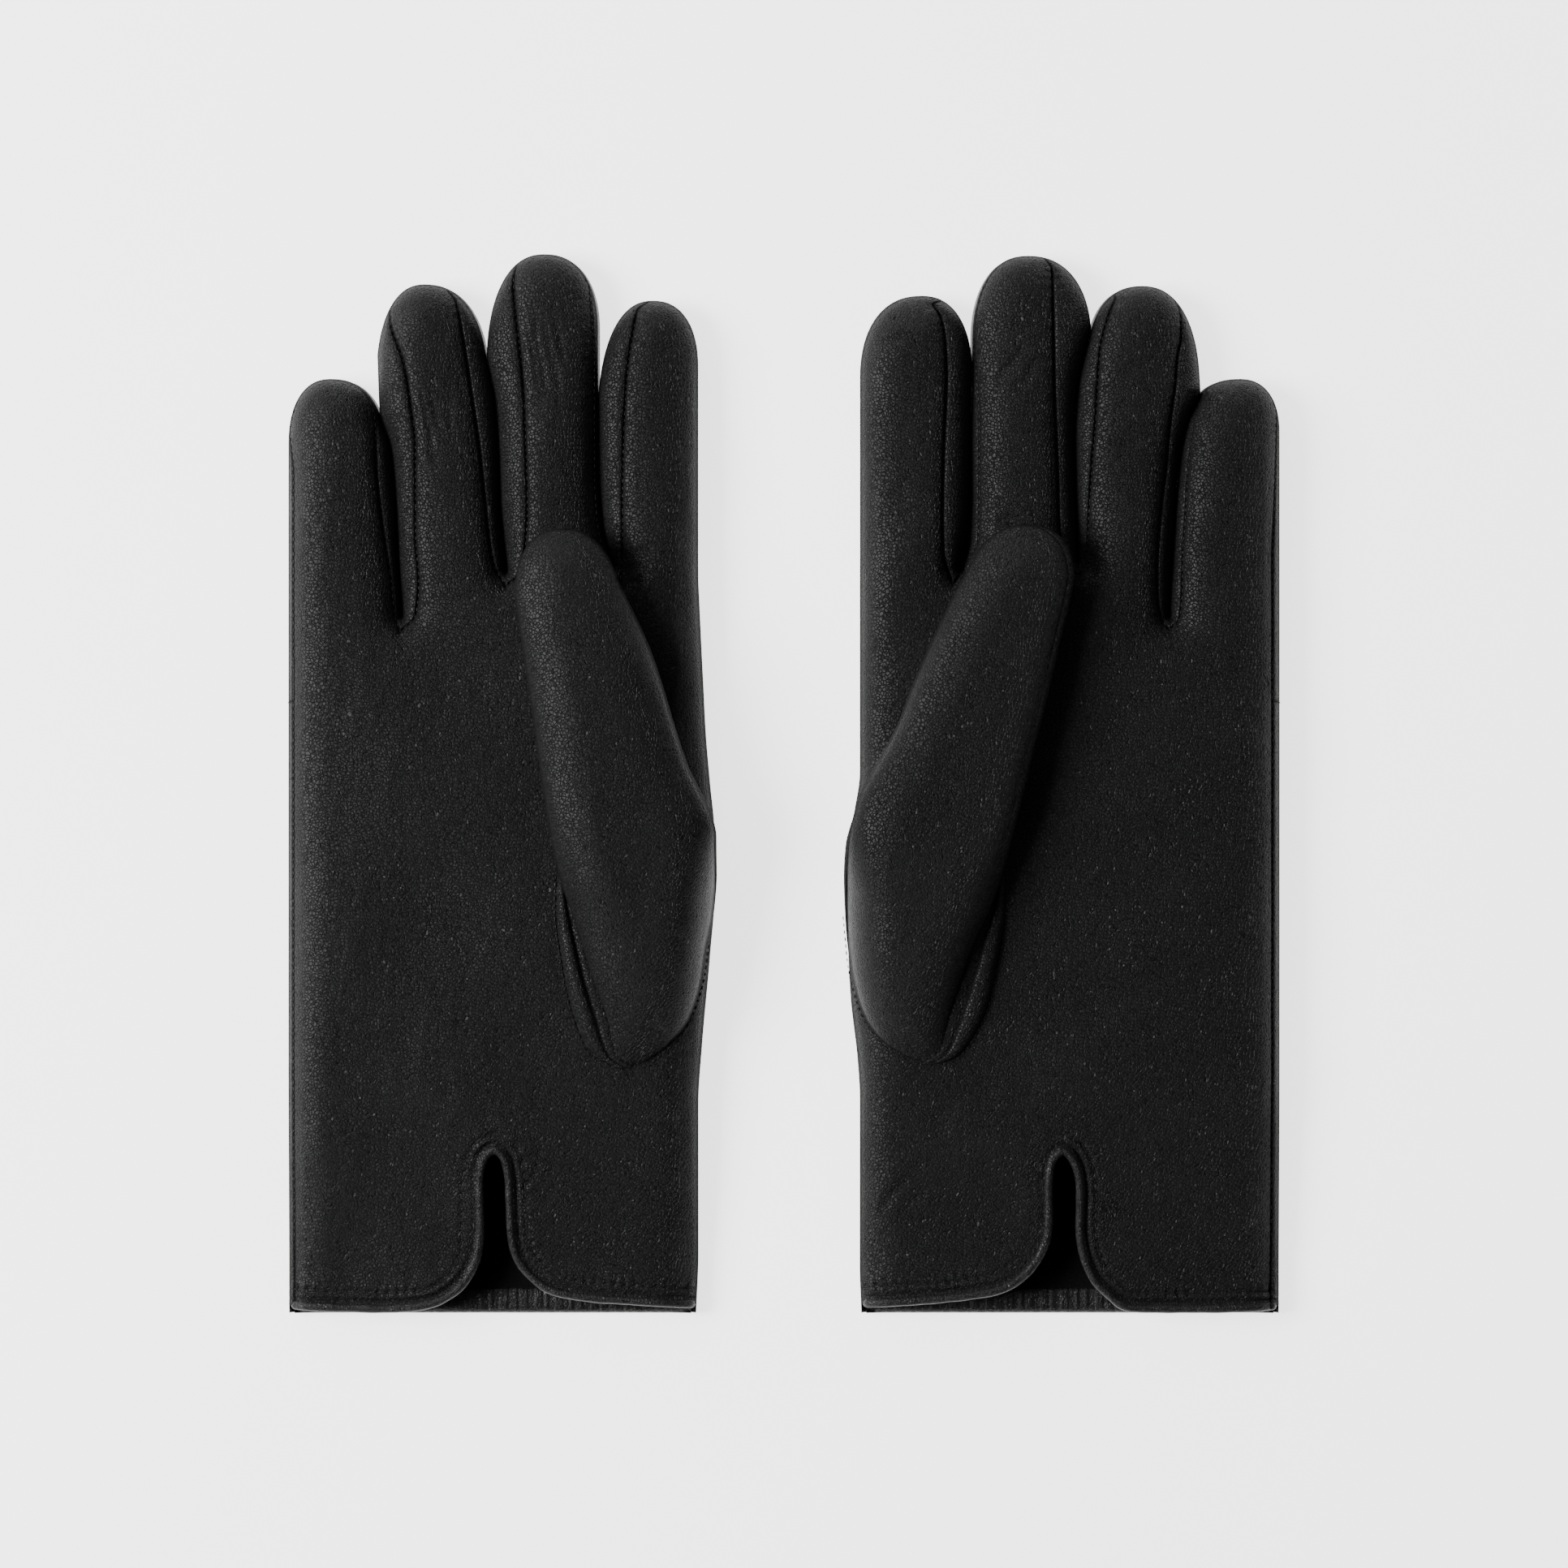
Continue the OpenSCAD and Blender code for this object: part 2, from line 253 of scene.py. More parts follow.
@dataclass(frozen=True)
class Edge:
    """One side of a finger or thumb, written from its foot to where the round tip takes over.

    Attributes:
        points: (x, y) from the foot upwards.
        tip: the highest point of the finger.
        start: height at which the tip's round starts.
        power: 2 for an ellipse, more for a squarer tip.
    """

    points: tuple[Point, ...]
    tip: Point
    start: float
    power: float = 2.3

    def _unit(self, y: Array) -> Array:
        """Width of the round tip at y, as a share of its width at start."""
        t = np.clip((y - self.start) / (self.tip[1] - self.start), 0.0, 1.0)
        return (1.0 - t**self.power) ** (1.0 / self.power)

    def x(self, y: Array) -> Array:
        """Finds the edge.

        Args:
            y: heights above the hem.

        Returns:
            x of the edge at each height.
        """
        p = np.array(self.points, float)
        reach = (p[-1, 0] - self.tip[0]) / self._unit(np.array([p[-1, 1]]))[0]
        return np.where(y <= p[-1, 1], through(y, p[:, 1], p[:, 0]), self.tip[0] + reach * self._unit(y))


@dataclass(frozen=True)
class Seam:
    """A seam on the front of a finger, from the crotch up to where it runs out over the side."""

    points: tuple[Point, ...]

    def x(self, y: Array, edge: Edge, inward: float) -> Array:
        """Where the seam is at the heights y.

        Args:
            y: heights.
            edge: the side of the finger that the seam follows.
            inward: 1 if the finger lies to the right of that edge, -1 if to the left.

        Returns:
            x, never nearer to the edge than a thread's width.
        """
        p = np.array(self.points, float)
        side = edge.x(y)
        inside = np.maximum((through(y, p[:, 1], p[:, 0]) - side) * inward, 0.35)
        past = smoothstep(p[-1, 1], p[-1, 1] + 1.5, y)
        inset = inside * (1.0 - past) + 0.35 * past
        opening = smoothstep(p[0, 1], p[0, 1] + 0.5, y)
        return side + inward * inset * opening


@dataclass(frozen=True)
class Finger:
    """A finger's outline and seams. left is the side towards the little finger's edge of the glove."""

    name: str
    left: Edge
    right: Edge
    left_seam: Optional[Seam]
    right_seam: Optional[Seam]
    roots: Point

    @property
    def tip(self) -> Point:
        """The highest point."""
        return self.left.tip


@dataclass(frozen=True)
class GloveShape:
    """Everything that differs between the two gloves, in mm in the glove's plane."""

    side: str
    mirrored: bool
    body_edge: tuple[Point, ...]
    strip_seam: float
    valleys: tuple[tuple[Point, ...], ...]
    fingers: tuple[Finger, ...]
    thumb_left: Edge
    thumb_right: Edge
    crescent: tuple[Point, ...]
    binding: tuple[Point, ...]
    creases: tuple[tuple[Point, ...], ...]
    seed: int


RIGHT_TIPS: dict[str, Point] = {
    "little": (10.4, 229.4), "ring": (33.4, 252.6), "middle": (62.8, 260.0), "index": (89.4, 248.6),
}
RIGHT_VALLEYS = (
    ((27.8, 167.2), (28.0, 171.0), (27.2, 183.0), (26.4, 199.0), (25.2, 212.0), (22.4, 220.8)),
    ((53.8, 178.4), (53.6, 182.0), (52.0, 199.0), (51.6, 211.0), (50.8, 223.0), (48.6, 234.4)),
    ((81.6, 178.8), (80.0, 183.2), (77.2, 193.0), (76.2, 207.0), (76.0, 224.8)),
)
LEFT_TIPS: dict[str, Point] = {
    "little": (9.8, 229.4), "ring": (33.8, 252.2), "middle": (61.8, 259.6), "index": (87.8, 249.8),
}
LEFT_VALLEYS = (
    ((27.2, 167.8), (27.2, 171.0), (26.4, 187.0), (25.6, 199.0), (24.4, 211.0), (22.8, 218.4), (19.4, 226.0)),
    ((49.6, 180.8), (49.4, 184.4), (49.6, 191.0), (50.2, 203.0), (50.4, 215.0), (49.6, 227.0), (46.2, 241.6)),
    ((80.4, 179.0), (78.0, 182.6), (76.2, 191.0), (75.8, 203.0), (75.8, 215.0), (75.4, 232.8)),
)

RIGHT_GLOVE = GloveShape(
    side="right",
    mirrored=False,
    body_edge=(
        (100.0, 0.0), (100.6, 15.0), (100.6, 51.0), (101.6, 67.0), (103.4, 87.0), (104.8, 107.0),
        (104.6, 118.0), (103.4, 131.0), (102.4, 143.0), (101.8, 155.0), (101.2, 167.0), (100.6, 180.0),
    ),
    strip_seam=1.6,
    valleys=RIGHT_VALLEYS,
    fingers=(
        Finger(
            "little",
            Edge(((0.0, 150.0), (0.0, 213.0)), RIGHT_TIPS["little"], 213.0),
            Edge(RIGHT_VALLEYS[0], RIGHT_TIPS["little"], 213.0),
            Seam(((1.6, 150.0), (1.6, 205.0), (0.6, 214.0))),
            Seam((
                (27.8, 167.2), (26.4, 171.2), (25.6, 179.2), (23.2, 195.2), (22.0, 207.2), (21.6, 218.4),
                (20.4, 223.2), (18.0, 226.8),
            )),
            (160.0, 167.2),
        ),
        Finger(
            "ring",
            Edge(RIGHT_VALLEYS[0] + ((21.8, 235.2),), RIGHT_TIPS["ring"], 228.0),
            Edge(RIGHT_VALLEYS[1], RIGHT_TIPS["ring"], 228.0),
            Seam((
                (27.8, 167.2), (31.6, 171.2), (32.4, 179.2), (31.6, 191.2), (31.6, 212.0), (30.4, 223.2),
                (28.8, 232.8), (25.2, 243.2), (24.8, 247.0),
            )),
            Seam((
                (53.8, 178.4), (50.8, 183.2), (49.6, 189.6), (48.4, 200.8), (47.2, 212.0), (45.6, 223.2),
                (44.4, 231.2), (42.8, 240.8), (41.2, 248.0), (39.2, 251.0),
            )),
            (167.2, 178.4),
        ),
        Finger(
            "middle",
            Edge(RIGHT_VALLEYS[1], RIGHT_TIPS["middle"], 232.0),
            Edge(RIGHT_VALLEYS[2] + ((76.0, 237.0),), RIGHT_TIPS["middle"], 241.0),
            Seam((
                (53.8, 178.4), (56.4, 180.8), (58.4, 188.0), (59.0, 197.0), (58.6, 212.0), (58.2, 223.2),
                (57.2, 235.2), (56.0, 245.6), (55.4, 252.8), (56.0, 257.2),
            )),
            Seam((
                (81.6, 178.8), (78.0, 185.0), (75.8, 195.0), (75.2, 207.0), (75.2, 235.0), (74.6, 243.2),
                (74.0, 251.2), (72.6, 255.6),
            )),
            (178.4, 178.8),
        ),
        Finger(
            "index",
            Edge(RIGHT_VALLEYS[2], RIGHT_TIPS["index"], 218.0),
            Edge(((100.6, 165.0), (100.6, 231.0)), RIGHT_TIPS["index"], 232.0),
            Seam((
                (81.6, 178.8), (82.2, 191.2), (82.2, 200.8), (82.4, 212.0), (82.8, 223.2), (83.6, 232.8),
                (84.8, 240.8), (85.8, 246.0), (88.4, 248.2),
            )),
            None,
            (178.8, 180.0),
        ),
    ),
    thumb_left=Edge(
        (
            (83.0, 60.8), (79.9, 63.0), (78.4, 71.2), (74.4, 83.2), (70.8, 95.2), (67.8, 104.2),
            (65.6, 113.2), (62.4, 133.2), (60.4, 147.2), (58.8, 158.2), (57.4, 167.2), (56.2, 176.0),
        ),
        (68.8, 192.0), 174.0, 2.6,
    ),
    thumb_right=Edge(
        (
            (83.0, 60.8), (86.6, 61.4), (89.4, 62.8), (94.4, 67.2), (98.4, 72.2), (101.4, 81.2),
            (102.8, 90.2), (104.4, 98.2), (105.2, 108.2), (105.2, 117.2), (104.2, 122.2),
            (101.4, 128.2), (98.4, 134.2), (95.4, 143.2), (92.4, 153.2), (89.4, 162.2), (85.4, 171.2),
            (81.4, 179.2),
        ),
        (68.8, 192.0), 172.0, 2.0,
    ),
    crescent=(
        (80.4, 61.0), (75.4, 63.8), (72.4, 68.2), (69.4, 77.2), (67.4, 88.2), (66.2, 98.2),
        (66.4, 107.2),
    ),
    binding=(
        (0.6, 2.2), (12.0, 1.8), (25.0, 1.6), (34.5, 2.6), (39.5, 4.8), (43.2, 8.0), (46.0, 13.0),
        (47.2, 19.0), (47.3, 27.0), (47.3, 34.0), (48.4, 38.6), (50.8, 40.6), (53.2, 38.6),
        (54.3, 34.0), (54.6, 27.0), (55.0, 19.0), (56.8, 13.2), (61.0, 8.4), (65.6, 5.8), (74.4, 4.2),
        (86.0, 3.4), (100.0, 2.4),
    ),
    creases=(
        ((36.0, 238.0), (40.5, 226.0), (42.0, 212.0)),
        ((34.0, 232.0), (37.5, 220.0), (39.0, 206.0)),
        ((62.0, 248.0), (65.0, 236.0), (66.5, 222.0)),
        ((60.0, 240.0), (62.5, 230.0), (63.5, 216.0)),
        ((83.5, 187.0), (90.0, 186.0), (97.0, 187.5)),
        ((84.0, 180.5), (91.0, 179.0), (98.5, 178.0)),
        ((84.0, 38.0), (90.0, 28.0), (94.0, 20.0)),
        ((60.0, 30.0), (64.0, 36.0), (66.0, 44.0)),
    ),
    seed=3,
)

LEFT_GLOVE = GloveShape(
    side="left",
    mirrored=True,
    body_edge=(
        (102.6, 0.0), (103.0, 12.0), (103.0, 53.0), (103.6, 63.0), (105.2, 77.0), (105.8, 88.0),
        (106.2, 107.0), (105.8, 115.0), (104.4, 123.0), (103.0, 133.0), (103.0, 180.0),
    ),
    strip_seam=2.2,
    valleys=LEFT_VALLEYS,
    fingers=(
        Finger(
            "little",
            Edge(((0.0, 150.0), (0.0, 216.0)), LEFT_TIPS["little"], 216.0),
            Edge(LEFT_VALLEYS[0], LEFT_TIPS["little"], 218.0),
            Seam(((2.2, 150.0), (2.2, 183.0), (1.6, 199.0), (0.8, 222.0))),
            Seam((
                (27.2, 167.8), (24.8, 170.4), (24.2, 176.8), (24.0, 186.4), (23.4, 195.2), (22.8, 205.6),
                (21.8, 215.2), (20.2, 222.4), (18.0, 225.6),
            )),
            (160.0, 167.8),
        ),
        Finger(
            "ring",
            Edge(LEFT_VALLEYS[0] + ((19.6, 230.0),), LEFT_TIPS["ring"], 226.0),
            Edge(LEFT_VALLEYS[1], LEFT_TIPS["ring"], 234.0),
            Seam((
                (27.2, 167.8), (28.8, 169.6), (30.2, 175.2), (30.4, 183.2), (29.8, 192.8), (28.0, 208.8),
                (27.2, 218.4), (26.0, 227.2), (25.4, 234.4), (24.4, 240.0), (24.6, 245.6), (26.4, 249.6),
            )),
            Seam((
                (49.6, 180.8), (48.4, 183.2), (47.2, 191.2), (46.8, 199.2), (46.2, 208.8), (45.4, 218.4),
                (44.8, 228.8), (44.2, 236.0), (42.8, 242.4), (40.4, 249.0),
            )),
            (167.8, 180.8),
        ),
        Finger(
            "middle",
            Edge(LEFT_VALLEYS[1], LEFT_TIPS["middle"], 238.0),
            Edge(LEFT_VALLEYS[2] + ((75.4, 240.0),), LEFT_TIPS["middle"], 238.0),
            Seam((
                (49.6, 180.8), (51.6, 183.2), (54.0, 189.6), (54.4, 195.2), (54.6, 203.2), (55.0, 215.2),
                (55.4, 224.8), (55.6, 236.8), (55.8, 247.2), (56.0, 256.0), (57.6, 258.6),
            )),
            Seam((
                (80.4, 179.0), (77.0, 184.0), (74.0, 190.0), (73.8, 205.0), (73.8, 218.4), (74.6, 232.8),
            )),
            (180.8, 179.0),
        ),
        Finger(
            "index",
            Edge(LEFT_VALLEYS[2], LEFT_TIPS["index"], 230.0),
            Edge(((103.0, 165.0), (103.0, 231.0)), LEFT_TIPS["index"], 229.0),
            Seam((
                (80.4, 179.0), (82.6, 186.4), (82.8, 195.2), (82.6, 207.2), (82.2, 218.4), (81.8, 229.6),
                (82.2, 238.4), (83.2, 244.0), (85.2, 247.4),
            )),
            None,
            (179.0, 180.0),
        ),
    ),
    thumb_left=Edge(
        (
            (86.0, 61.6), (82.6, 64.6), (81.4, 71.2), (78.8, 80.2), (74.8, 91.2), (70.8, 100.2),
            (67.8, 110.2), (65.8, 118.2), (63.8, 126.2), (61.4, 136.2), (58.8, 146.2), (56.4, 156.2),
            (54.4, 165.2), (52.4, 173.2), (51.0, 180.0),
        ),
        (63.4, 193.0), 178.0, 2.6,
    ),
    thumb_right=Edge(
        (
            (86.0, 61.6), (89.6, 62.4), (92.8, 63.8), (97.8, 67.2), (101.4, 71.8), (103.8, 77.8),
            (105.4, 85.2), (106.6, 97.2), (107.0, 108.2), (106.6, 115.2), (104.8, 122.2),
            (103.4, 127.2), (100.8, 132.2), (97.4, 138.2), (93.8, 145.2), (90.4, 154.2), (87.8, 160.2),
            (83.8, 169.2), (79.8, 177.2), (76.4, 183.2),
        ),
        (63.4, 193.0), 174.0, 2.0,
    ),
    crescent=(
        (84.6, 61.8), (82.0, 62.4), (78.8, 64.2), (75.8, 68.2), (72.4, 75.2), (70.4, 83.2), (68.8, 91.2),
        (67.8, 99.2), (67.8, 107.2),
    ),
    binding=(
        (0.6, 2.0), (15.0, 1.6), (33.0, 1.6), (38.6, 2.4), (42.0, 5.0), (45.6, 8.6), (48.2, 14.4),
        (49.3, 20.5), (49.3, 32.0), (50.8, 37.8), (53.5, 40.4), (56.1, 37.8), (56.9, 32.0),
        (56.9, 22.0), (58.4, 16.0), (62.2, 10.4), (67.8, 6.6), (76.2, 4.8), (88.0, 3.6), (102.4, 2.6),
    ),
    creases=(
        ((84.0, 234.0), (90.0, 238.0), (96.0, 236.0)),
        ((58.0, 236.0), (64.0, 232.0), (68.0, 224.0)),
        ((98.0, 196.0), (92.0, 200.0), (86.0, 198.0)),
        ((60.0, 190.0), (66.0, 194.0), (71.0, 193.0)),
        ((30.0, 216.0), (36.0, 212.0), (42.0, 214.0)),
        ((84.0, 36.0), (92.0, 30.0), (97.0, 22.0)),
        ((44.0, 30.0), (38.0, 24.0), (28.0, 22.0)),
    ),
    seed=11,
)


# ---- Skin: a glove's leather as one net of faces, cut into pieces afterwards -------------------------


@dataclass
class Net:
    """Vertices and triangles with what each belongs to.

    Attributes:
        points: positions in metres in the frame.
        faces: vertex numbers, three per triangle.
        labels: a Label's value for each face.
        parts: number of the stretch that each face belongs to.
        normals: one per vertex, worked out before the net is cut.
        seam: distance in mm from the nearest seam, hem groove or outline, one per vertex, which sets where
            the leather's colour is painted dark as shade.
    """

    points: Array
    faces: Array
    labels: Array
    parts: Array
    normals: Array
    seam: Array


def spread(count: int) -> Array:
    """Shares from 0 to 1 in count steps, which are closer together near both ends."""
    even = np.linspace(0.0, 1.0, count + 1)
    return even - 0.62 * np.sin(2 * math.pi * even) / (2 * math.pi)


def grid_faces(rows: int, cols: int) -> Array:
    """Quads of a grid of vertices as an array of vertex numbers, shape (rows-1, cols-1, 4)."""
    n = np.arange(rows * cols).reshape(rows, cols)
    return np.stack([n[:-1, :-1], n[:-1, 1:], n[1:, 1:], n[1:, :-1]], axis=-1)


def vertex_normals(points: Array, faces: Array) -> Array:
    """Works out smooth normals of a triangle mesh, weighted by the triangles' areas.

    Args:
        points: the mesh's points.
        faces: triangles as numbers of points.

    Returns:
        One normal for each point.
    """
    a, b, c = (points[faces[:, k]] for k in range(3))
    across = np.cross(b - a, c - a)
    total = np.zeros_like(points)
    for k in range(3):
        for axis in range(3):
            total[:, axis] += np.bincount(faces[:, k], across[:, axis], len(points))
    size = np.linalg.norm(total, axis=1)
    total[size < 1e-15] = (0.0, 0.0, 1.0)
    return total / np.maximum(size, 1e-15)[:, None]


def make_mesh(name: str, points: Array, faces: Array, normals: Optional[Array] = None) -> bpy.types.Object:
    """Makes a smooth-shaded object from arrays.

    Args:
        name: the piece's name.
        points: positions in metres.
        faces: triangles as vertex numbers.
        normals: one normal per vertex, or None for the mesh's own.

    Returns:
        The object, linked to the scene.
    """
    used, inverse = np.unique(faces, return_inverse=True)
    corners = inverse.reshape(faces.shape)
    mesh = bpy.data.meshes.new(name)
    mesh.vertices.add(len(used))
    mesh.vertices.foreach_set("co", points[used].astype(np.float32).ravel())
    mesh.loops.add(corners.size)
    mesh.loops.foreach_set("vertex_index", corners.astype(np.int32).ravel())
    mesh.polygons.add(len(corners))
    mesh.polygons.foreach_set("loop_start", np.arange(0, corners.size, 3, dtype=np.int32))
    mesh.update(calc_edges=True)
    mesh.polygons.foreach_set("use_smooth", np.ones(len(corners), bool))
    mesh.validate()
    if normals is not None:
        mesh.normals_split_custom_set_from_vertices(normals[used])
    piece = bpy.data.objects.new(name, mesh)
    bpy.context.scene.collection.objects.link(piece)
    return piece


def add_attribute(piece: bpy.types.Object, name: str, values: Array) -> None:
    """Stores one number per vertex under a name that materials can read."""
    attribute = piece.data.attributes.new(name, "FLOAT", "POINT")
    attribute.data.foreach_set("value", values.astype(np.float32))


@dataclass
class Relief:
    """Heights of a glove's top and bottom over its plane, in mm.

    Attributes:
        shape: the glove.
        sides: the outlines from which the leather rolls up.
        seams: the finger seams.
        binding: middle line of the rolled binding.
    """

    shape: GloveShape
    sides: Paths
    seams: Paths
    binding: Paths

    def top(self, xy: Array) -> tuple[Array, Array]:
        """Works out the top of the leather.

        Args:
            xy: points in the plane, one per row.

        Returns:
            The heights, and the distance to the nearest seam, hem groove, hem row or outline (the outline's
            at 0.55 of its distance), both in mm; near these the leather's colour is painted dark as shade.
        """
        y = xy[:, 1]
        side, _ = self.sides.near(xy)
        seam, along = self.seams.near(xy)
        trim, trim_along = self.binding.near(xy)
        seed = self.shape.seed
        full = CUFF_TOP + (HAND_TOP - CUFF_TOP) * smoothstep(-8.0, 75.0, y)
        full = full - 1.6 * smoothstep(200.0, 262.0, y) + 0.35 * waves(xy, 34.0, seed)
        level = SIDE_LEVEL * (0.62 + 0.38 * smoothstep(0.0, 60.0, y))
        full = full - 2.0 * (1.0 - rolled(side, 38.0, 1.9))
        z = level + (full - level) * rolled(side, ROLL)
        steep = smoothstep(0.0, 4.0, side)
        pucker = np.sin(along * 2.6 + 1.3 * np.sin(along * 0.73)) * np.exp(-((seam / 2.6) ** 2))
        z -= steep * (0.85 * np.exp(-((seam / 0.32) ** 2)) + 0.5 * np.exp(-((seam / 1.6) ** 2)))
        z += steep * 0.13 * pucker
        patch = 0.5 + 0.5 * np.clip(waves(xy, 60.0, seed + 3), -1.0, 1.0)
        ripple = 0.055 * waves(xy * (1.0, 0.55), 7.0, seed + 1) + 0.014 * waves(xy, 3.1, seed + 2)
        z += steep * (0.35 + 0.65 * patch) * ripple
        z -= self._creases(xy) * steep
        near_hem = np.exp(-((trim / 9.0) ** 2))
        groove = np.exp(-(((trim - HEM_GROOVE) / 0.4) ** 2))
        stitch = np.exp(-(((trim - HEM_ROW) / 0.45) ** 2))
        gather = np.sin(trim_along * 2.51) * np.exp(-(((trim - 4.4) / 1.3) ** 2))
        z += -0.9 * groove - 0.5 * stitch + 0.2 * gather + 0.5 * near_hem * smoothstep(10.0, 3.0, trim)
        # Distance to the hem's groove and its row of stitches, where the leather's colour is painted dark as
        # shade.
        hem = np.minimum(np.abs(trim - HEM_GROOVE) + 0.1, np.abs(trim - HEM_ROW) + 0.15)
        reach = np.minimum(seam, hem)
        # Near seams, hem grooves and the outline the leather's colour is painted dark as shade.
        return z, np.minimum(reach, 0.55 * side)

    def _creases(self, xy: Array) -> Array:
        """Adds up the wrinkles that wear has left.

        Args:
            xy: points in the plane, one per row.

        Returns:
            The depth at each point, in mm.
        """
        depth = np.zeros(len(xy))
        rng = np.random.default_rng(self.shape.seed + 5)
        for points in self.shape.creases:
            line = smooth_path(points, 0.5)
            low, high = line.min(0) - 8.0, line.max(0) + 8.0
            here = np.flatnonzero(((xy > low) & (xy < high)).all(1))
            if not len(here):
                continue
            for k in range(9):
                first = rng.integers(0, max(1, len(line) // 3))
                last = rng.integers(2 * len(line) // 3, len(line) + 1)
                shifted = line[first:last] + rng.normal(0.0, 2.2, 2)
                gap, along = Paths([shifted]).near(xy[here])
                fade = np.sin(math.pi * np.clip(along / max(along.max(), 1e-6), 0.0, 1.0))
                width = 0.5 + 0.06 * k
                depth[here] += 0.2 * fade * np.exp(-((gap / width) ** 2))
        return depth

    def bottom(self, xy: Array) -> Array:
        """Works out the back, which lies on the floor.

        Args:
            xy: points in the plane, one per row.

        Returns:
            The heights in mm.
        """
        side, _ = self.sides.near(xy)
        level = SIDE_LEVEL * (0.62 + 0.38 * smoothstep(0.0, 60.0, xy[:, 1]))
        seed = self.shape.seed + 9
        lift = 0.12 * (1.0 + waves(xy, 18.0, seed) * 0.5)
        flat = rolled(side, BACK_ROLL)
        return level * (1.0 - flat) + np.clip(lift, 0.02, 0.4) * flat

    def inside(self, xy: Array, sink: float, up: bool) -> Array:
        """Works out a surface that lies inside the leather.

        Args:
            xy: points in the plane, one per row.
            sink: how far inside it lies, in mm.
            up: True for the upper surface and False for the lower one.

        Returns:
            The heights in mm.
        """
        top, _ = self.top(xy)
        low = self.bottom(xy)
        side, _ = self.sides.near(xy)
        half = np.maximum((top - low) / 2.0 - sink, 0.05) * rolled(side - sink, 6.0)
        return (top + low) / 2.0 + (half if up else -half)


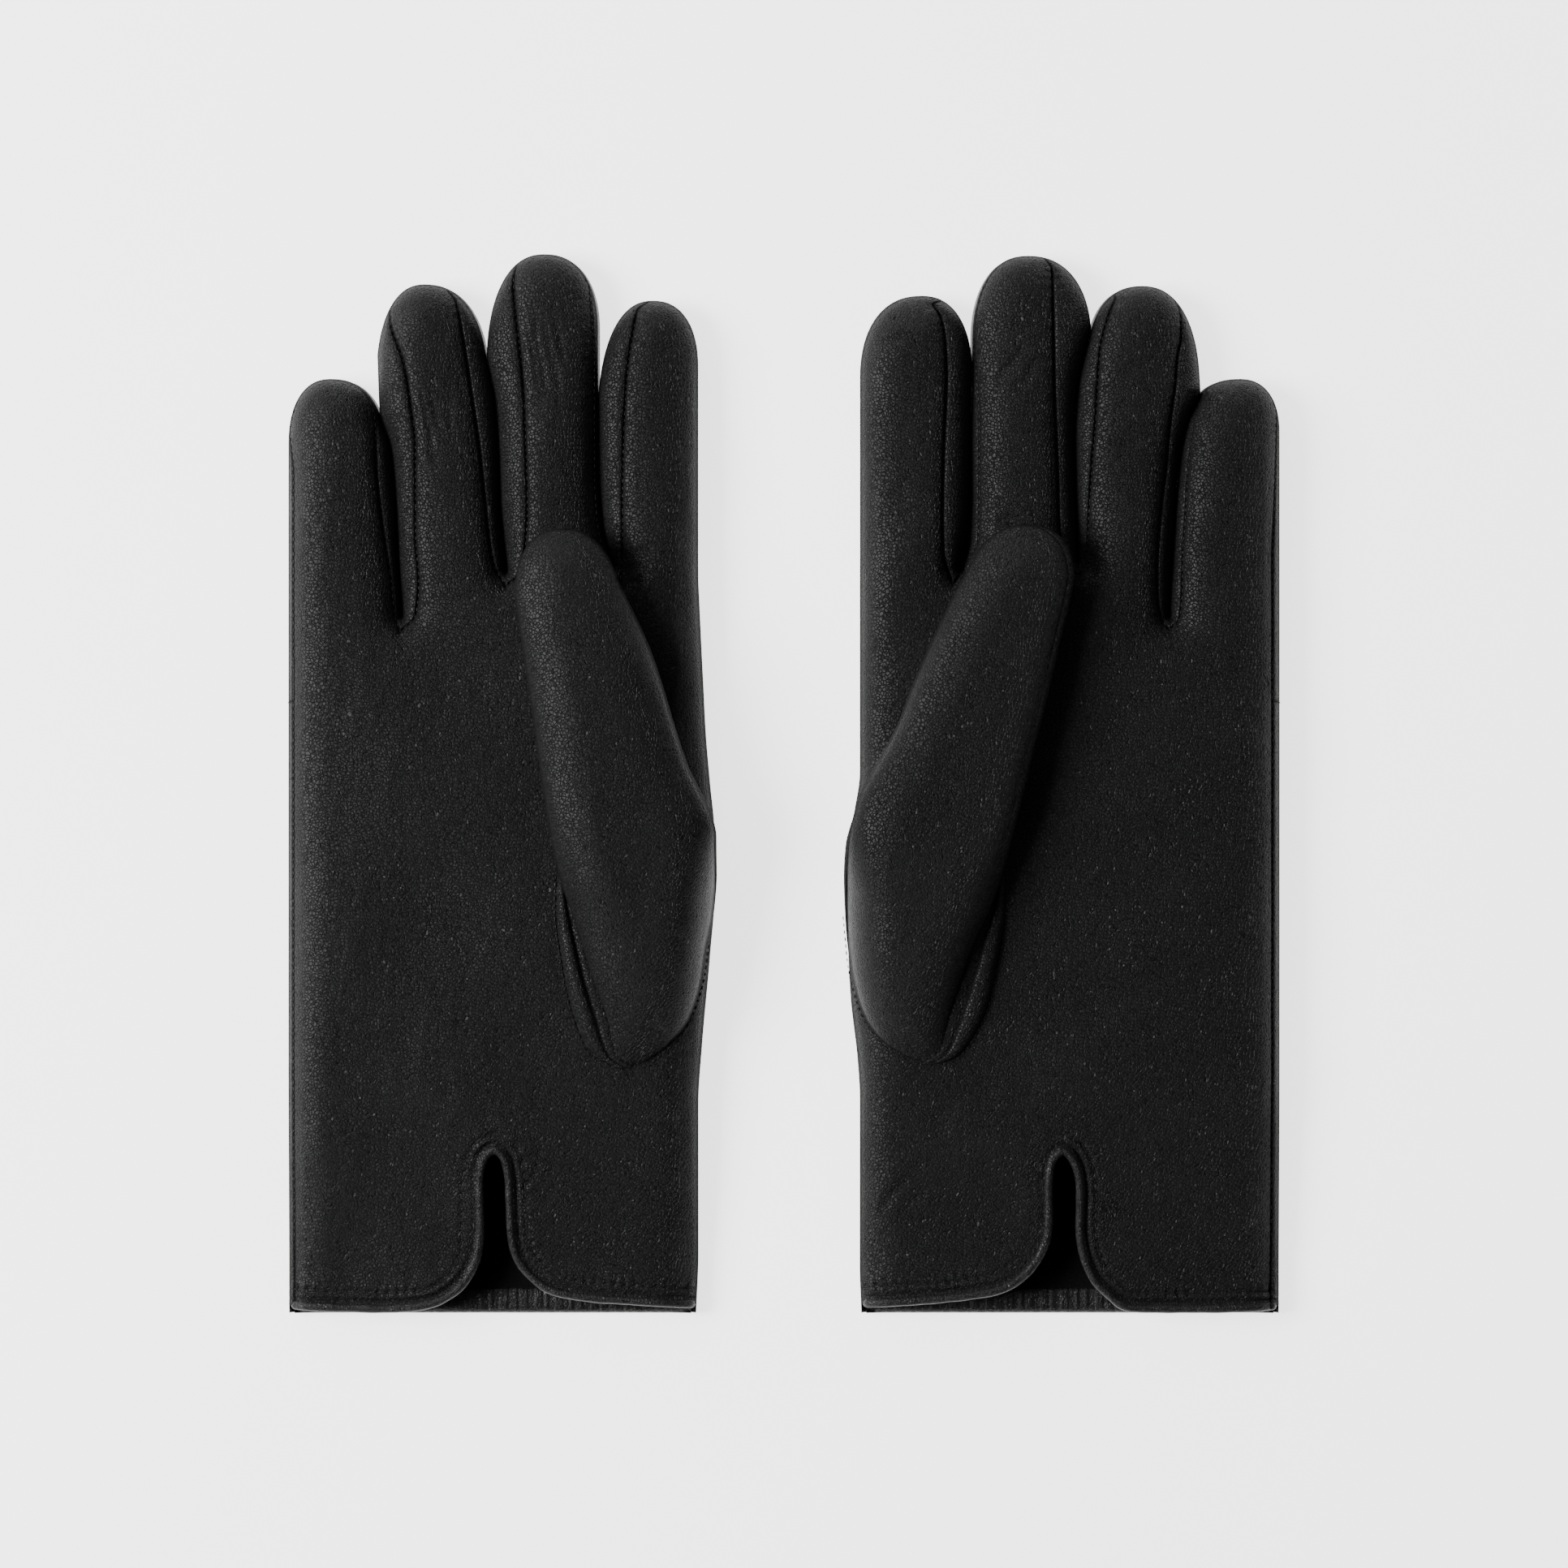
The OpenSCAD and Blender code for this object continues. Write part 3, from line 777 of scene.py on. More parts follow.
@dataclass
class Glove:
    """Builds one glove from its shape and the frame.

    Attributes:
        shape: the glove's outlines and seams.
        finishes: the materials.
        offset: where the plane's corner lies in the frame, in mm.
        joints: the frame's joints by name.
        seam_lines: points along the finger seams, and last the strip seam.
        binding_line: points along the middle of the binding.
        relief: the heights of the leather.
    """

    shape: GloveShape
    finishes: "Finishes"
    offset: Array = field(init=False)
    joints: dict[str, dict] = field(init=False)
    seam_lines: list[Array] = field(init=False)
    binding_line: Array = field(init=False)
    relief: Relief = field(init=False)

    def __post_init__(self) -> None:
        """Finds where the glove lies: the outer corner of its back at the hem."""
        low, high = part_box(self.node("back_panel"))
        corner_x = high.x if self.shape.mirrored else low.x
        self.offset = np.array([corner_x / MM, low.y / MM])
        self.joints = {j["name"]: j for j in frame["joints"]}
        self._make_relief()

    # -- names and places --

    def node(self, part: str) -> str:
        """The frame's name for one of this glove's parts."""
        return f"{self.shape.side}_{part}"

    def place(self, xy: Array, z: Array) -> Array:
        """Positions in metres in the frame of points in the glove's plane, with heights in mm."""
        turn = -1.0 if self.shape.mirrored else 1.0
        return np.column_stack([(self.offset[0] + turn * xy[:, 0]), self.offset[1] + xy[:, 1], z]) * MM

    def joint_place(self, name: str) -> tuple[Vector, Vector]:
        """Finds a hinge.

        Args:
            name: the joint's name without the glove's side.

        Returns:
            Its position, and the direction along the finger or thumb, away from the palm.
        """
        joint = self.joints[self.node(name)]
        axis = Vector(joint["axis"])
        forward = Vector((0, 0, 1)).cross(axis)
        return Vector(joint["pos_m"]), forward if forward.y > 0 else -forward

    def plane_y(self, place: Vector) -> float:
        """Height above the hem, in mm, of a place in the frame."""
        return place.y / MM - self.offset[1]

    # -- outlines --

    def _make_relief(self) -> None:
        """Gathers the lines that the leather rolls away from and is sewn along."""
        shape = self.shape
        sides = [smooth_path(((0.0, -4.0), (0.0, 100.0), (0.0, 200.0)), 0.5)]
        edge = np.array(shape.body_edge)
        y = np.linspace(0.0, edge[-1, 1], 420)
        sides.append(np.column_stack([through(y, edge[:, 1], edge[:, 0]), y]))
        seams = []
        for finger in shape.fingers:
            top = finger.tip[1]
            for edge, seam, inward in (
                (finger.left, finger.left_seam, 1.0),
                (finger.right, finger.right_seam, -1.0),
            ):
                foot = edge.points[1][1] if seam and edge.points[0][0] > 5.0 else finger.roots[1]
                y = foot + (top - foot) * np.sin(np.linspace(0.0, math.pi / 2, 330))
                sides.append(np.column_stack([edge.x(y), y]))
                if seam:
                    start = seam.points[0][1]
                    y = start + (top - 0.4 - start) * np.linspace(0.0, 1.0, 200)
                    seams.append(np.column_stack([seam.x(y, edge, inward), y]))
        y = np.linspace(0.0, 160.0, 330)
        seams.append(np.column_stack([np.full_like(y, shape.strip_seam), y]))
        self.seam_lines = seams
        self.binding_line = smooth_path(shape.binding, 0.4)
        self.relief = Relief(shape, Paths(sides), Paths(seams), Paths([self.binding_line]))

    def is_open(self, xy: Array) -> Array:
        """Tells which points lie past the edge of the palm's leather.

        Args:
            xy: points in the plane, one per row.

        Returns:
            True for a point in the vent or beyond the hem.
        """
        ring = np.vstack([self.binding_line, [[140.0, 2.0], [140.0, -20.0], [-20.0, -20.0], [-20.0, 2.0]]])
        x, y = xy[:, 0], xy[:, 1]
        inside = np.zeros(len(xy), bool)
        for a, b in zip(ring, np.roll(ring, -1, axis=0)):
            crosses = (a[1] > y) != (b[1] > y)
            if a[1] != b[1]:
                inside ^= crosses & (x < (b[0] - a[0]) * (y - a[1]) / (b[1] - a[1]) + a[0])
        return inside

    # -- the skin --

    def _finger_grid(
        self, finger: Finger, cols: int, cell: float, sink: float
    ) -> tuple[Array, Array, Array]:
        """Lays a ring of columns round a finger, in rows up to its tip.

        Args:
            finger: the finger.
            cols: how many columns its front has.
            cell: spacing of the rows in mm.
            sink: how far inside the outline the ring lies, in mm.

        Returns:
            Points in the plane (rows, columns, 2), +1 for the top, -1 for the bottom and 0 for the
            low edge tucked under the next finger, for each column, and the label of each band.
        """
        tip = finger.tip[1]
        foot = min(finger.roots)
        span = tip - foot
        round_share = 22.0 / span
        straight = np.linspace(0.0, 1.0 - round_share, int(span * (1 - round_share) / cell))
        quarter = np.linspace(0.0, math.pi / 2, int(28.0 / cell) + 2)[1:]
        turned = 1.0 - round_share + round_share * np.sin(quarter)
        rise = np.concatenate([straight, turned])
        left_y = finger.roots[0] + (tip - finger.roots[0]) * rise
        right_y = finger.roots[1] + (tip - finger.roots[1]) * rise
        grow = np.clip(rise / 0.08, 0.0, 1.0)
        left, right = finger.left.x(left_y), finger.right.x(right_y)
        centre, half = (left + right) / 2, (right - left) / 2
        half_in = np.maximum(half - GAP * grow - sink, 0.0)
        left, right = centre - half_in, centre + half_in
        left_in = finger.left_seam.x(left_y, finger.left, 1.0)
        if finger.right_seam:
            right_in = finger.right_seam.x(right_y, finger.right, -1.0)
        else:
            right_in = right - np.minimum(3.0, 0.25 * (right - left))
        left_in = np.clip(left_in, left, left + 0.5 * (right - left))
        right_in = np.clip(right_in, left_in, right)
        if sink:
            shorter = (tip - sink - finger.roots[0]) / (tip - finger.roots[0])
            left_y = finger.roots[0] + (left_y - finger.roots[0]) * shorter
            right_y = finger.roots[1] + (right_y - finger.roots[1]) * shorter
        side = (1.0 - np.cos(np.linspace(0.0, math.pi, 15))) / 2.0
        under_side = 1.0 - np.cos(np.linspace(0.0, math.pi / 2, 6))
        middle = spread(cols)
        back = np.linspace(0.0, 1.0, 17)
        turn = np.minimum(3.4, 0.28 * (right - left)) * grow
        columns: list[tuple[Array, Array]] = []
        columns += [(left + (left_in - left) * s, left_y) for s in side[:-1]]
        columns += [(left_in + (right_in - left_in) * u, left_y + (right_y - left_y) * u) for u in middle]
        columns += [(right + (right_in - right) * s, right_y) for s in side[::-1][1:]]
        top_count = len(columns)
        tuck = TUCK * np.minimum(grow, half_in / 3.0) if finger.right_seam and not sink else 0.0 * right
        columns.append((right + tuck, right_y))
        columns += [(right - turn * s, right_y) for s in under_side[3:]]
        across = left + turn - right + turn
        columns += [(right - turn + across * u, right_y + (left_y - right_y) * u) for u in back[1:]]
        columns += [(left + turn * s, left_y) for s in under_side[::-1][1:]]
        xy = np.stack([np.stack(c, axis=-1) for c in columns], axis=1)
        tucked = 0 if finger.right_seam and not sink else -1
        is_top = np.array([1] * top_count + [tucked] + [-1] * (len(columns) - top_count - 2) + [1])
        outer = Label.BACK if finger.name == "little" else Label.FOURCHETTE
        inner = Label.FOURCHETTE if finger.right_seam else Label.PALM
        under = Label.FOURCHETTE if finger.right_seam else Label.BACK
        n_side = len(side) - 1
        labels = [outer] * n_side + [Label.PALM] * cols + [inner] * n_side
        labels += [under] * 4 + [Label.BACK] * 16 + [outer] * 5
        return xy, is_top, np.array([v.value for v in labels])

    def _body_grid(
        self, top: bool, finger_cols: list[int], cell: float, sink: float
    ) -> tuple[Array, Array]:
        """Lays columns across the palm or the back, from the hem up to the feet of the fingers.

        Args:
            top: True for the palm and False for the back.
            finger_cols: how many columns meet each finger.
            cell: spacing of the rows in mm.
            sink: how far inside the outline the columns lie, in mm.

        Returns:
            Points in the plane (rows, columns, 2) and the label of each band between two columns.
        """
        shape = self.shape
        heads: list[Point] = []
        labels: list[Label] = []
        side = 1.0 - np.cos(np.linspace(0.0, math.pi / 2, 11))
        joints = [(shape.strip_seam, 160.0), *(v[0] for v in shape.valleys)]
        right = shape.fingers[3].right.x(np.array([180.0]))[0]
        joints.append((right - 3.0, 180.0))
        strip = side if top else side[::2]
        heads += [(shape.strip_seam * s, 160.0) for s in strip[:-1]]
        labels += [Label.BACK] * (len(strip) - 1)
        for (x0, y0), (x1, y1), n in zip(joints, joints[1:], finger_cols):
            heads += [(x0 + (x1 - x0) * u, y0 + (y1 - y0) * u) for u in spread(n)[:-1]]
            labels += [Label.PALM] * n
        fold = side[::-1] if top else side[::-1][::2]
        heads += [(right - 3.0 * s, 180.0) for s in fold]
        labels += [Label.PALM] * (len(fold) - 1)
        head = np.array(heads)
        share = head[:, 0] / right
        rows = int(170.0 / cell)
        rise = np.linspace(0.0, 1.0, rows + 1)[:, None]
        y = head[:, 1] * rise
        edge = np.array(shape.body_edge)
        width = through(y, edge[:, 1], edge[:, 0])
        xy = np.stack([head[:, 0] + share**3 * (width - right), y], axis=-1)
        xy[-1] = head
        if sink:
            share = np.clip(xy[..., 0] / width, 0.0, 1.0)
            xy[..., 0] = sink + (width - 2 * sink) * share
        if not top:
            labels = [Label.BACK] * (len(head) - 1)
        return xy, np.array([v.value for v in labels])

    def build_skin(self, cell: float, sink: float) -> Net:
        """Makes the whole glove's skin as one net, with a part number for each stretch.

        Args:
            cell: spacing of the mesh in mm.
            sink: how far inside the leather the skin lies, in mm: 0 for the leather itself.

        Returns:
            The net, its sheets joined where they meet.
        """
        points, seams, faces, labels, parts = [], [], [], [], []
        count = 0

        def add(xy: Array, tops: Array, bands: Array, part_rows: Array) -> None:
            """Adds a grid to the skin.

            Args:
                xy: points in the plane (rows, columns, 2).
                tops: 1 for a top column, -1 for a bottom one and 0 for a tucked edge.
                bands: the label of each band between two columns.
                part_rows: the part of each band between two rows.
            """
            nonlocal count
            rows, cols = xy.shape[:2]
            flat = xy.reshape(-1, 2)
            up = np.tile(tops > 0, rows)
            z = np.zeros(len(flat))
            # Bottom and inner surfaces keep 9 mm: no painted shade there.
            reach = np.full(len(flat), 9.0)
            for chosen, is_top in ((up, True), (~up, False)):
                if not chosen.any():
                    continue
                if sink:
                    z[chosen] = self.relief.inside(flat[chosen], sink, is_top)
                elif is_top:
                    z[chosen], reach[chosen] = self.relief.top(flat[chosen])
                else:
                    z[chosen] = self.relief.bottom(flat[chosen])
            z[np.tile(tops == 0, rows)] = TUCK_LEVEL
            points.append(self.place(flat, z))
            seams.append(reach)
            quads = grid_faces(rows, cols) + count
            band = np.broadcast_to(bands, quads.shape[:2]).ravel()
            part = np.repeat(part_rows, cols - 1)
            quads = quads.reshape(-1, 4)
            middle = flat[quads - count].mean(1)
            is_up = (tops[:-1] > 0) & (tops[1:] > 0)
            cut = np.tile(is_up, rows - 1) & (part == 0)
            cut[cut] = self.is_open(middle[cut])
            quads, band, part = quads[~cut], band[~cut], part[~cut]
            faces.extend([quads[:, [0, 1, 2]], quads[:, [0, 2, 3]]])
            labels.extend([band, band])
            parts.extend([part, part])
            count += len(flat)

        finger_cols = [int(w / cell) for w in (25.0, 24.0, 26.0, 16.0)]
        xy, bands = self._body_grid(True, finger_cols, cell, sink)
        add(xy, np.ones(xy.shape[1], int), bands, np.zeros(xy.shape[0] - 1, int))
        xy, bands = self._body_grid(False, [10, 10, 10, 8], 2.0, sink)
        add(xy[:, ::-1], -np.ones(xy.shape[1], int), bands[::-1], np.zeros(xy.shape[0] - 1, int))
        for number, (finger, cols) in enumerate(zip(self.shape.fingers, finger_cols)):
            xy, tops, bands = self._finger_grid(finger, cols, cell, sink)
            height = xy[:-1, :, 1].mean(1)
            first, _ = self.joint_place(f"{finger.name}_bend")
            second, _ = self.joint_place(f"{finger.name}_tip_bend")
            part = np.zeros(len(height), int)
            part[height > self.plane_y(first) - BEND_REACH - CUT_MARGIN] = 1 + 2 * number
            part[height > self.plane_y((first + second) / 2)] = 2 + 2 * number
            add(xy, tops, bands, part)
        return self._weld(points, seams, faces, labels, parts)

    def _weld(self, points: list, seams: list, faces: list, labels: list, parts: list) -> Net:
        """Joins grids that share edges, and turns the faces outwards.

        Args:
            points: each grid's points in metres.
            seams: each grid's distances from the nearest seam, hem groove or outline, which set the painted
                shade.
            faces: arrays of triangles.
            labels: a label for each triangle.
            parts: a part number for each triangle.

        Returns:
            The net.
        """
        p, f = np.vstack(points), np.vstack(faces)
        rounded = np.round(p / (WELD * MM)).astype(int)
        _, first, inverse = np.unique(rounded, axis=0, return_index=True, return_inverse=True)
        f = inverse.ravel()[f]
        p, reach = p[first], np.concatenate(seams)[first]
        real = (f[:, 0] != f[:, 1]) & (f[:, 1] != f[:, 2]) & (f[:, 2] != f[:, 0])
        f = f[real]
        if self.shape.mirrored:
            f = f[:, ::-1]
        kept_labels, kept_parts = np.concatenate(labels)[real], np.concatenate(parts)[real]
        return Net(p, f, kept_labels, kept_parts, vertex_normals(p, f), reach)

    def cut(self, net: Net, name: str, part: int, labels: tuple[Label, ...]) -> bpy.types.Object:
        """Makes a piece from some of a net's faces.

        Args:
            net: the net.
            name: the piece's name without the glove's side.
            part: the part that the faces belong to.
            labels: the labels that they may have.

        Returns:
            The piece.
        """
        wanted = (net.parts == part) & np.isin(net.labels, [v.value for v in labels])
        faces = net.faces[wanted]
        piece = make_mesh(self.node(name), net.points, faces, net.normals)
        # The distances tell the material where to paint shade along seams, grooves and outlines.
        add_attribute(piece, "seam_mm", net.seam[np.unique(faces)])
        return piece

    # -- pieces --

    def finish(self, piece: bpy.types.Object, material: bpy.types.Material) -> None:
        """Gives a piece its material."""
        piece.data.materials.append(material)

    def bend(self, piece: bpy.types.Object) -> None:
        """Bakes a piece's placement into its mesh.

        Args:
            piece: the piece.
        """
        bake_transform(piece)

    def build_hand(self, net: Net, lining: Net) -> None:
        """Cuts the palm, the back, the feet of the fourchettes and the hand's lining.

        Args:
            net: the leather.
            lining: the lining.
        """
        f = self.finishes
        palm = self.cut(net, "palm_leather", 0, (Label.PALM,))
        self.finish(palm, f.leather)
        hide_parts(self.node("palm_panel"))
        back = self.cut(net, "back_leather", 0, (Label.BACK,))
        self.finish(back, f.leather)
        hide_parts(self.node("back_panel"))
        forks = self.cut(net, "fourchette_feet", 0, (Label.FOURCHETTE,))
        self.finish(forks, f.fourchette)
        pairs = ("index_middle", "middle_ring", "ring_little")
        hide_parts(*[self.node(f"{pair}_fourchette") for pair in pairs])
        bag = self.cut(lining, "hand_lining", 0, tuple(Label))
        self.finish(bag, f.lining)
        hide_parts(self.node("palm_lining"))
        for piece in (palm, back, forks, bag):
            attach(piece, self.node("hand"))

    def build_finger(self, net: Net, lining: Net, number: int, finger: Finger) -> None:
        """Cuts the two stretches of a finger.

        Args:
            net: the leather.
            lining: the lining.
            number: the finger's place, counted from the little finger.
            finger: the finger.
        """
        f = self.finishes
        name = finger.name
        stretches = (
            ("mid", "hand", f"{name}_mid", f"{name}_bend", ("mid_panel",), ("mid_fourchette",)),
            ("tip", f"{name}_mid", f"{name}_tip", f"{name}_tip_bend", ("tip_leather",), ()),
        )
        for k, (stretch, parent, child, joint, front_nodes, side_nodes) in enumerate(stretches):
            part = 1 + 2 * number + k
            front = self.cut(net, f"{name}_{stretch}_leather", part, (Label.PALM, Label.BACK))
            self.finish(front, f.leather)
            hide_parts(*[self.node(f"{name}_{n}") for n in front_nodes])
            sleeve = self.cut(lining, f"{name}_{stretch}_sleeve", part, tuple(Label))
            self.finish(sleeve, f.lining)
            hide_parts(self.node(f"{name}_{stretch}_lining"))
            side = self.cut(net, f"{name}_{stretch}_sides", part, (Label.FOURCHETTE,))
            self.finish(side, f.fourchette)
            if side_nodes:
                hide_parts(*[self.node(f"{name}_{n}") for n in side_nodes])
            for piece in (front, sleeve, side):
                self.bend(piece)

    def build_thumb(self) -> None:
        """Makes the thumb, which is sewn in at its base and lies free on the palm above it."""
        shape = self.shape
        hinge, _ = self.joint_place("thumb_lift")
        hinge_y = self.plane_y(hinge)
        for cell, inset, kind in ((CELL, 0.0, "leather"), (LINING_CELL, LEATHER_TO_LINING, "lining")):
            # seam holds the distances that set the painted shade along the thumb's outline.
            xy, tops, z, seam = self._thumb_grid(hinge_y, cell, inset)
            rows, cols = xy.shape[:2]
            points = self.place(xy.reshape(-1, 2), z)
            quads = grid_faces(rows, cols)
            lifts = xy[:-1, :, 1].mean(1) > hinge_y - BEND_REACH - CUT_MARGIN
            faces = np.concatenate([quads[..., [0, 1, 2]], quads[..., [0, 2, 3]]], axis=1)
            if shape.mirrored:
                faces = faces[..., ::-1]
            normals = self._ring_normals(points, faces.reshape(-1, 3), rows, cols)
            if kind == "leather":
                base = make_mesh(self.node("thumb_foot"), points, faces[~lifts].reshape(-1, 3), normals)
                add_attribute(base, "seam_mm", seam[np.unique(faces[~lifts])])
                self.finish(base, self.finishes.leather)
                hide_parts(self.node("thumb_base"))
                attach(base, self.node("hand"))
            free = make_mesh(self.node(f"thumb_free_{kind}"), points, faces[lifts].reshape(-1, 3), normals)
            add_attribute(free, "seam_mm", seam[np.unique(faces[lifts])])
            material = self.finishes.leather if kind == "leather" else self.finishes.lining
            self.finish(free, material)
            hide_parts(self.node(f"thumb_{kind}"))
            self.bend(free)

    def _ring_normals(self, points: Array, faces: Array, rows: int, cols: int) -> Array:
        """Works out the normals of a closed ring of columns.

        Args:
            points: the ring's points, row by row.
            faces: its triangles.
            rows: how many rows it has.
            cols: how many columns, the last one lying on the first.

        Returns:
            One normal for each point, the same along the first and the last column.
        """
        ring = np.arange(rows * cols).reshape(rows, cols)
        joined = np.arange(rows * cols)
        joined[ring[:, -1]] = ring[:, 0]
        joined[ring[0]] = ring[0, 0]
        joined[ring[-1]] = ring[-1, 0]
        normals = vertex_normals(points, joined[faces])
        return normals[joined]

    def _thumb_grid(self, hinge_y: float, cell: float, inset: float) -> tuple[Array, Array, Array, Array]:
        """Lays a ring of columns round the thumb, in rows from its base to its tip.

        Args:
            hinge_y: height of the hinge line above the hem, in mm.
            cell: spacing of the rows in mm.
            inset: how far inside the leather's outside the surface lies, in mm.

        Returns:
            Points in the plane, +1 or -1 for each column, heights, and distances from the outline, along
            which the leather's colour is painted dark as shade.
        """
        shape = self.shape
        foot, tip = shape.thumb_left.points[0][1], shape.thumb_left.tip[1]
        low, high = 14.0, 22.0
        start = low * (1.0 - np.cos(np.linspace(0.0, math.pi / 2, int(20.0 / cell))))
        end = tip - foot - high + high * np.sin(np.linspace(0.0, math.pi / 2, int(28.0 / cell)))
        run = np.arange(low + cell, tip - foot - high - cell / 2, cell)
        y = foot + np.concatenate([start, run, end])
        left, right = shape.thumb_left.x(y), shape.thumb_right.x(y)
        across = (1.0 - np.cos(np.linspace(0.0, math.pi, int(62.0 / cell)))) / 2.0
        under = across[::-1][::3]
        under = np.append(under[1:-1], 0.0)
        u = np.concatenate([across, under])
        tops = np.concatenate([np.ones(len(across)), -np.ones(len(under) - 1), [1.0]]).astype(int)
        x = left[:, None] + (right - left)[:, None] * u
        xy = np.stack([x, np.broadcast_to(y[:, None], x.shape)], axis=-1)
        outline = Paths([np.column_stack([left, y]), np.column_stack([right, y])])
        flat = xy.reshape(-1, 2)
        side, along = outline.near(flat)
        palm, _ = self.relief.top(flat)
        free = smoothstep(hinge_y - 16.0, hinge_y + 8.0, flat[:, 1])
        rest = palm * (1.0 - free) + (HAND_TOP + 0.7) * free
        heights = np.array([0.8, 6.0, 9.5, 11.6, 11.8, 10.8, 9.6])
        thick = through(flat[:, 1] - foot, np.array([0.0, 12.0, 28.0, 50.0, 90.0, 118.0, 131.2]), heights)
        level = 4.2 * free
        z_top = rest + level + (thick - level) * rolled(side, 13.0, 2.05)
        seed = shape.seed + 20
        steep = smoothstep(0.0, 4.0, side)
        z_top += steep * (0.2 * waves(flat, 46.0, seed) + 0.022 * waves(flat * (1.0, 0.5), 6.5, seed + 1))
        sewn = 1.0 - free
        puckers = 0.12 * np.sin(along * 3.1) * np.exp(-((side / 2.4) ** 2))
        z_top += sewn * (puckers - 0.5 * np.exp(-((side / 0.6) ** 2)))
        if shape.mirrored:
            fold = flat[:, 0] - np.repeat(left, len(u)) - 2.0
            z_top -= 0.5 * np.exp(-((fold / 0.45) ** 2)) * free
        z_low = rest + 0.5 * free - 0.6 * sewn + np.maximum(level - 0.5, 0.0) * (1.0 - rolled(side, 7.0))
        z = np.where(np.tile(tops > 0, len(y)), z_top, np.minimum(z_low, z_top))
        middle = (z_top + z_low) / 2.0
        z = np.where(z > middle, np.maximum(z - inset, middle), np.minimum(z + inset, middle))
        if inset:
            centre = (left + right)[:, None] / 2.0
            half = (right - left)[:, None] / 2.0
            shrink = np.maximum(half - inset, 0.2) / np.maximum(half, 0.2)
            flat = np.stack([centre + (x - centre) * shrink, xy[..., 1]], axis=-1).reshape(-1, 2)
            xy = flat.reshape(xy.shape)
        # Near the thumb's outline, at its sewn base and its free edges, the leather's colour is painted dark
        # as shade.
        reach = np.minimum(0.55 * side, 9.0)
        return xy, tops, z, reach

    def build_crescent(self) -> None:
        """Makes the folded gusset between the thumb's inner edge and the seam round its base."""
        shape = self.shape
        outer = np.array(shape.crescent)
        y = np.linspace(outer[0, 1], outer[-1, 1], 90)
        left = through(y, outer[:, 1], outer[:, 0])
        right = np.maximum(shape.thumb_left.x(y) + 2.0, left + 0.2)
        u = np.linspace(0.0, 1.0, 28)
        x = left[:, None] + (right - left)[:, None] * u
        xy = np.stack([x, np.broadcast_to(y[:, None], x.shape)], axis=-1).reshape(-1, 2)
        palm, _ = self.relief.top(xy)
        share = np.tile(u, len(y))
        ends = np.repeat(np.sin(math.pi * np.linspace(0.02, 0.98, len(y))) ** 0.6, len(u))
        bulge = 2.4 * np.clip(np.sin(math.pi * np.clip(share * 1.5, 0.0, 1.0)), 0.0, 1.0) ** 0.6
        fold = 1.8 * np.clip(np.sin(math.pi * np.clip(share * 1.5 - 0.62, 0.0, 1.0)), 0.0, 1.0) ** 0.7
        crease = 0.45 * np.exp(-(((share - GUSSET_FOLD) / 0.05) ** 2)) * ends
        z = palm + 0.25 + ends * np.maximum(bulge, fold) - crease
        quads = grid_faces(len(y), len(u)).reshape(-1, 4)
        faces = np.vstack([quads[:, [0, 1, 2]], quads[:, [0, 2, 3]]])
        if shape.mirrored:
            faces = faces[:, ::-1]
        piece = make_mesh(self.node("thumb_gusset"), self.place(xy, z), faces)
        # Along the gusset's fold the leather's colour is painted dark as crease shade.
        add_attribute(piece, "seam_mm", np.abs(share - GUSSET_FOLD) * 8.0)
        self.finish(piece, self.finishes.fourchette)
        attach(piece, self.node("hand"))

    def build_binding(self) -> None:
        """Sweeps the rolled binding round the vent and along the front hem."""
        line = self.binding_line
        z, _ = self.relief.top(line)
        tangent = np.gradient(line, axis=0)
        tangent /= np.linalg.norm(tangent, axis=1)[:, None]
        normal = np.column_stack([-tangent[:, 1], tangent[:, 0]])
        ends = np.minimum(np.arange(len(line)), np.arange(len(line))[::-1]) * 0.4
        round_end = 1.0 - (1.0 - np.clip(ends / 1.2, 0.0, 1.0)) ** 2
        radius = BINDING_RADIUS * np.sqrt(np.clip(round_end, 0.01, 1.0))
        turn = np.linspace(0.0, 2.0 * math.pi, 17)
        wobble = 1.0 + 0.03 * waves(line, 7.0, self.shape.seed + 40)
        radius = radius * wobble
        xy = line[:, None, :] + normal[:, None, :] * (radius[:, None] * np.cos(turn))[..., None]
        height = (z - BINDING_SINK)[:, None] + 0.9 * radius[:, None] * np.sin(turn)
        points = self.place(xy.reshape(-1, 2), height.ravel())
        quads = grid_faces(len(line), len(turn)).reshape(-1, 4)
        faces = np.vstack([quads[:, [0, 1, 2]], quads[:, [0, 2, 3]]])
        if not self.shape.mirrored:
            faces = faces[:, ::-1]
        normals = self._ring_normals(points, faces, len(line), len(turn))
        middle_z = np.repeat(z - BINDING_SINK, len(turn))
        middle = self.place(np.repeat(line, len(turn), axis=0), middle_z)
        outward = (normals * (points - middle)).sum()
        if outward < 0:
            faces, normals = faces[:, ::-1], -normals
        piece = make_mesh(self.node("rolled_binding"), points, faces, normals)
        add_attribute(piece, "seam_mm", np.full(len(piece.data.vertices), 5.0))
        self.finish(piece, self.finishes.binding)
        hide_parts(self.node("hem_binding"))
        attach(piece, self.node("hand"))

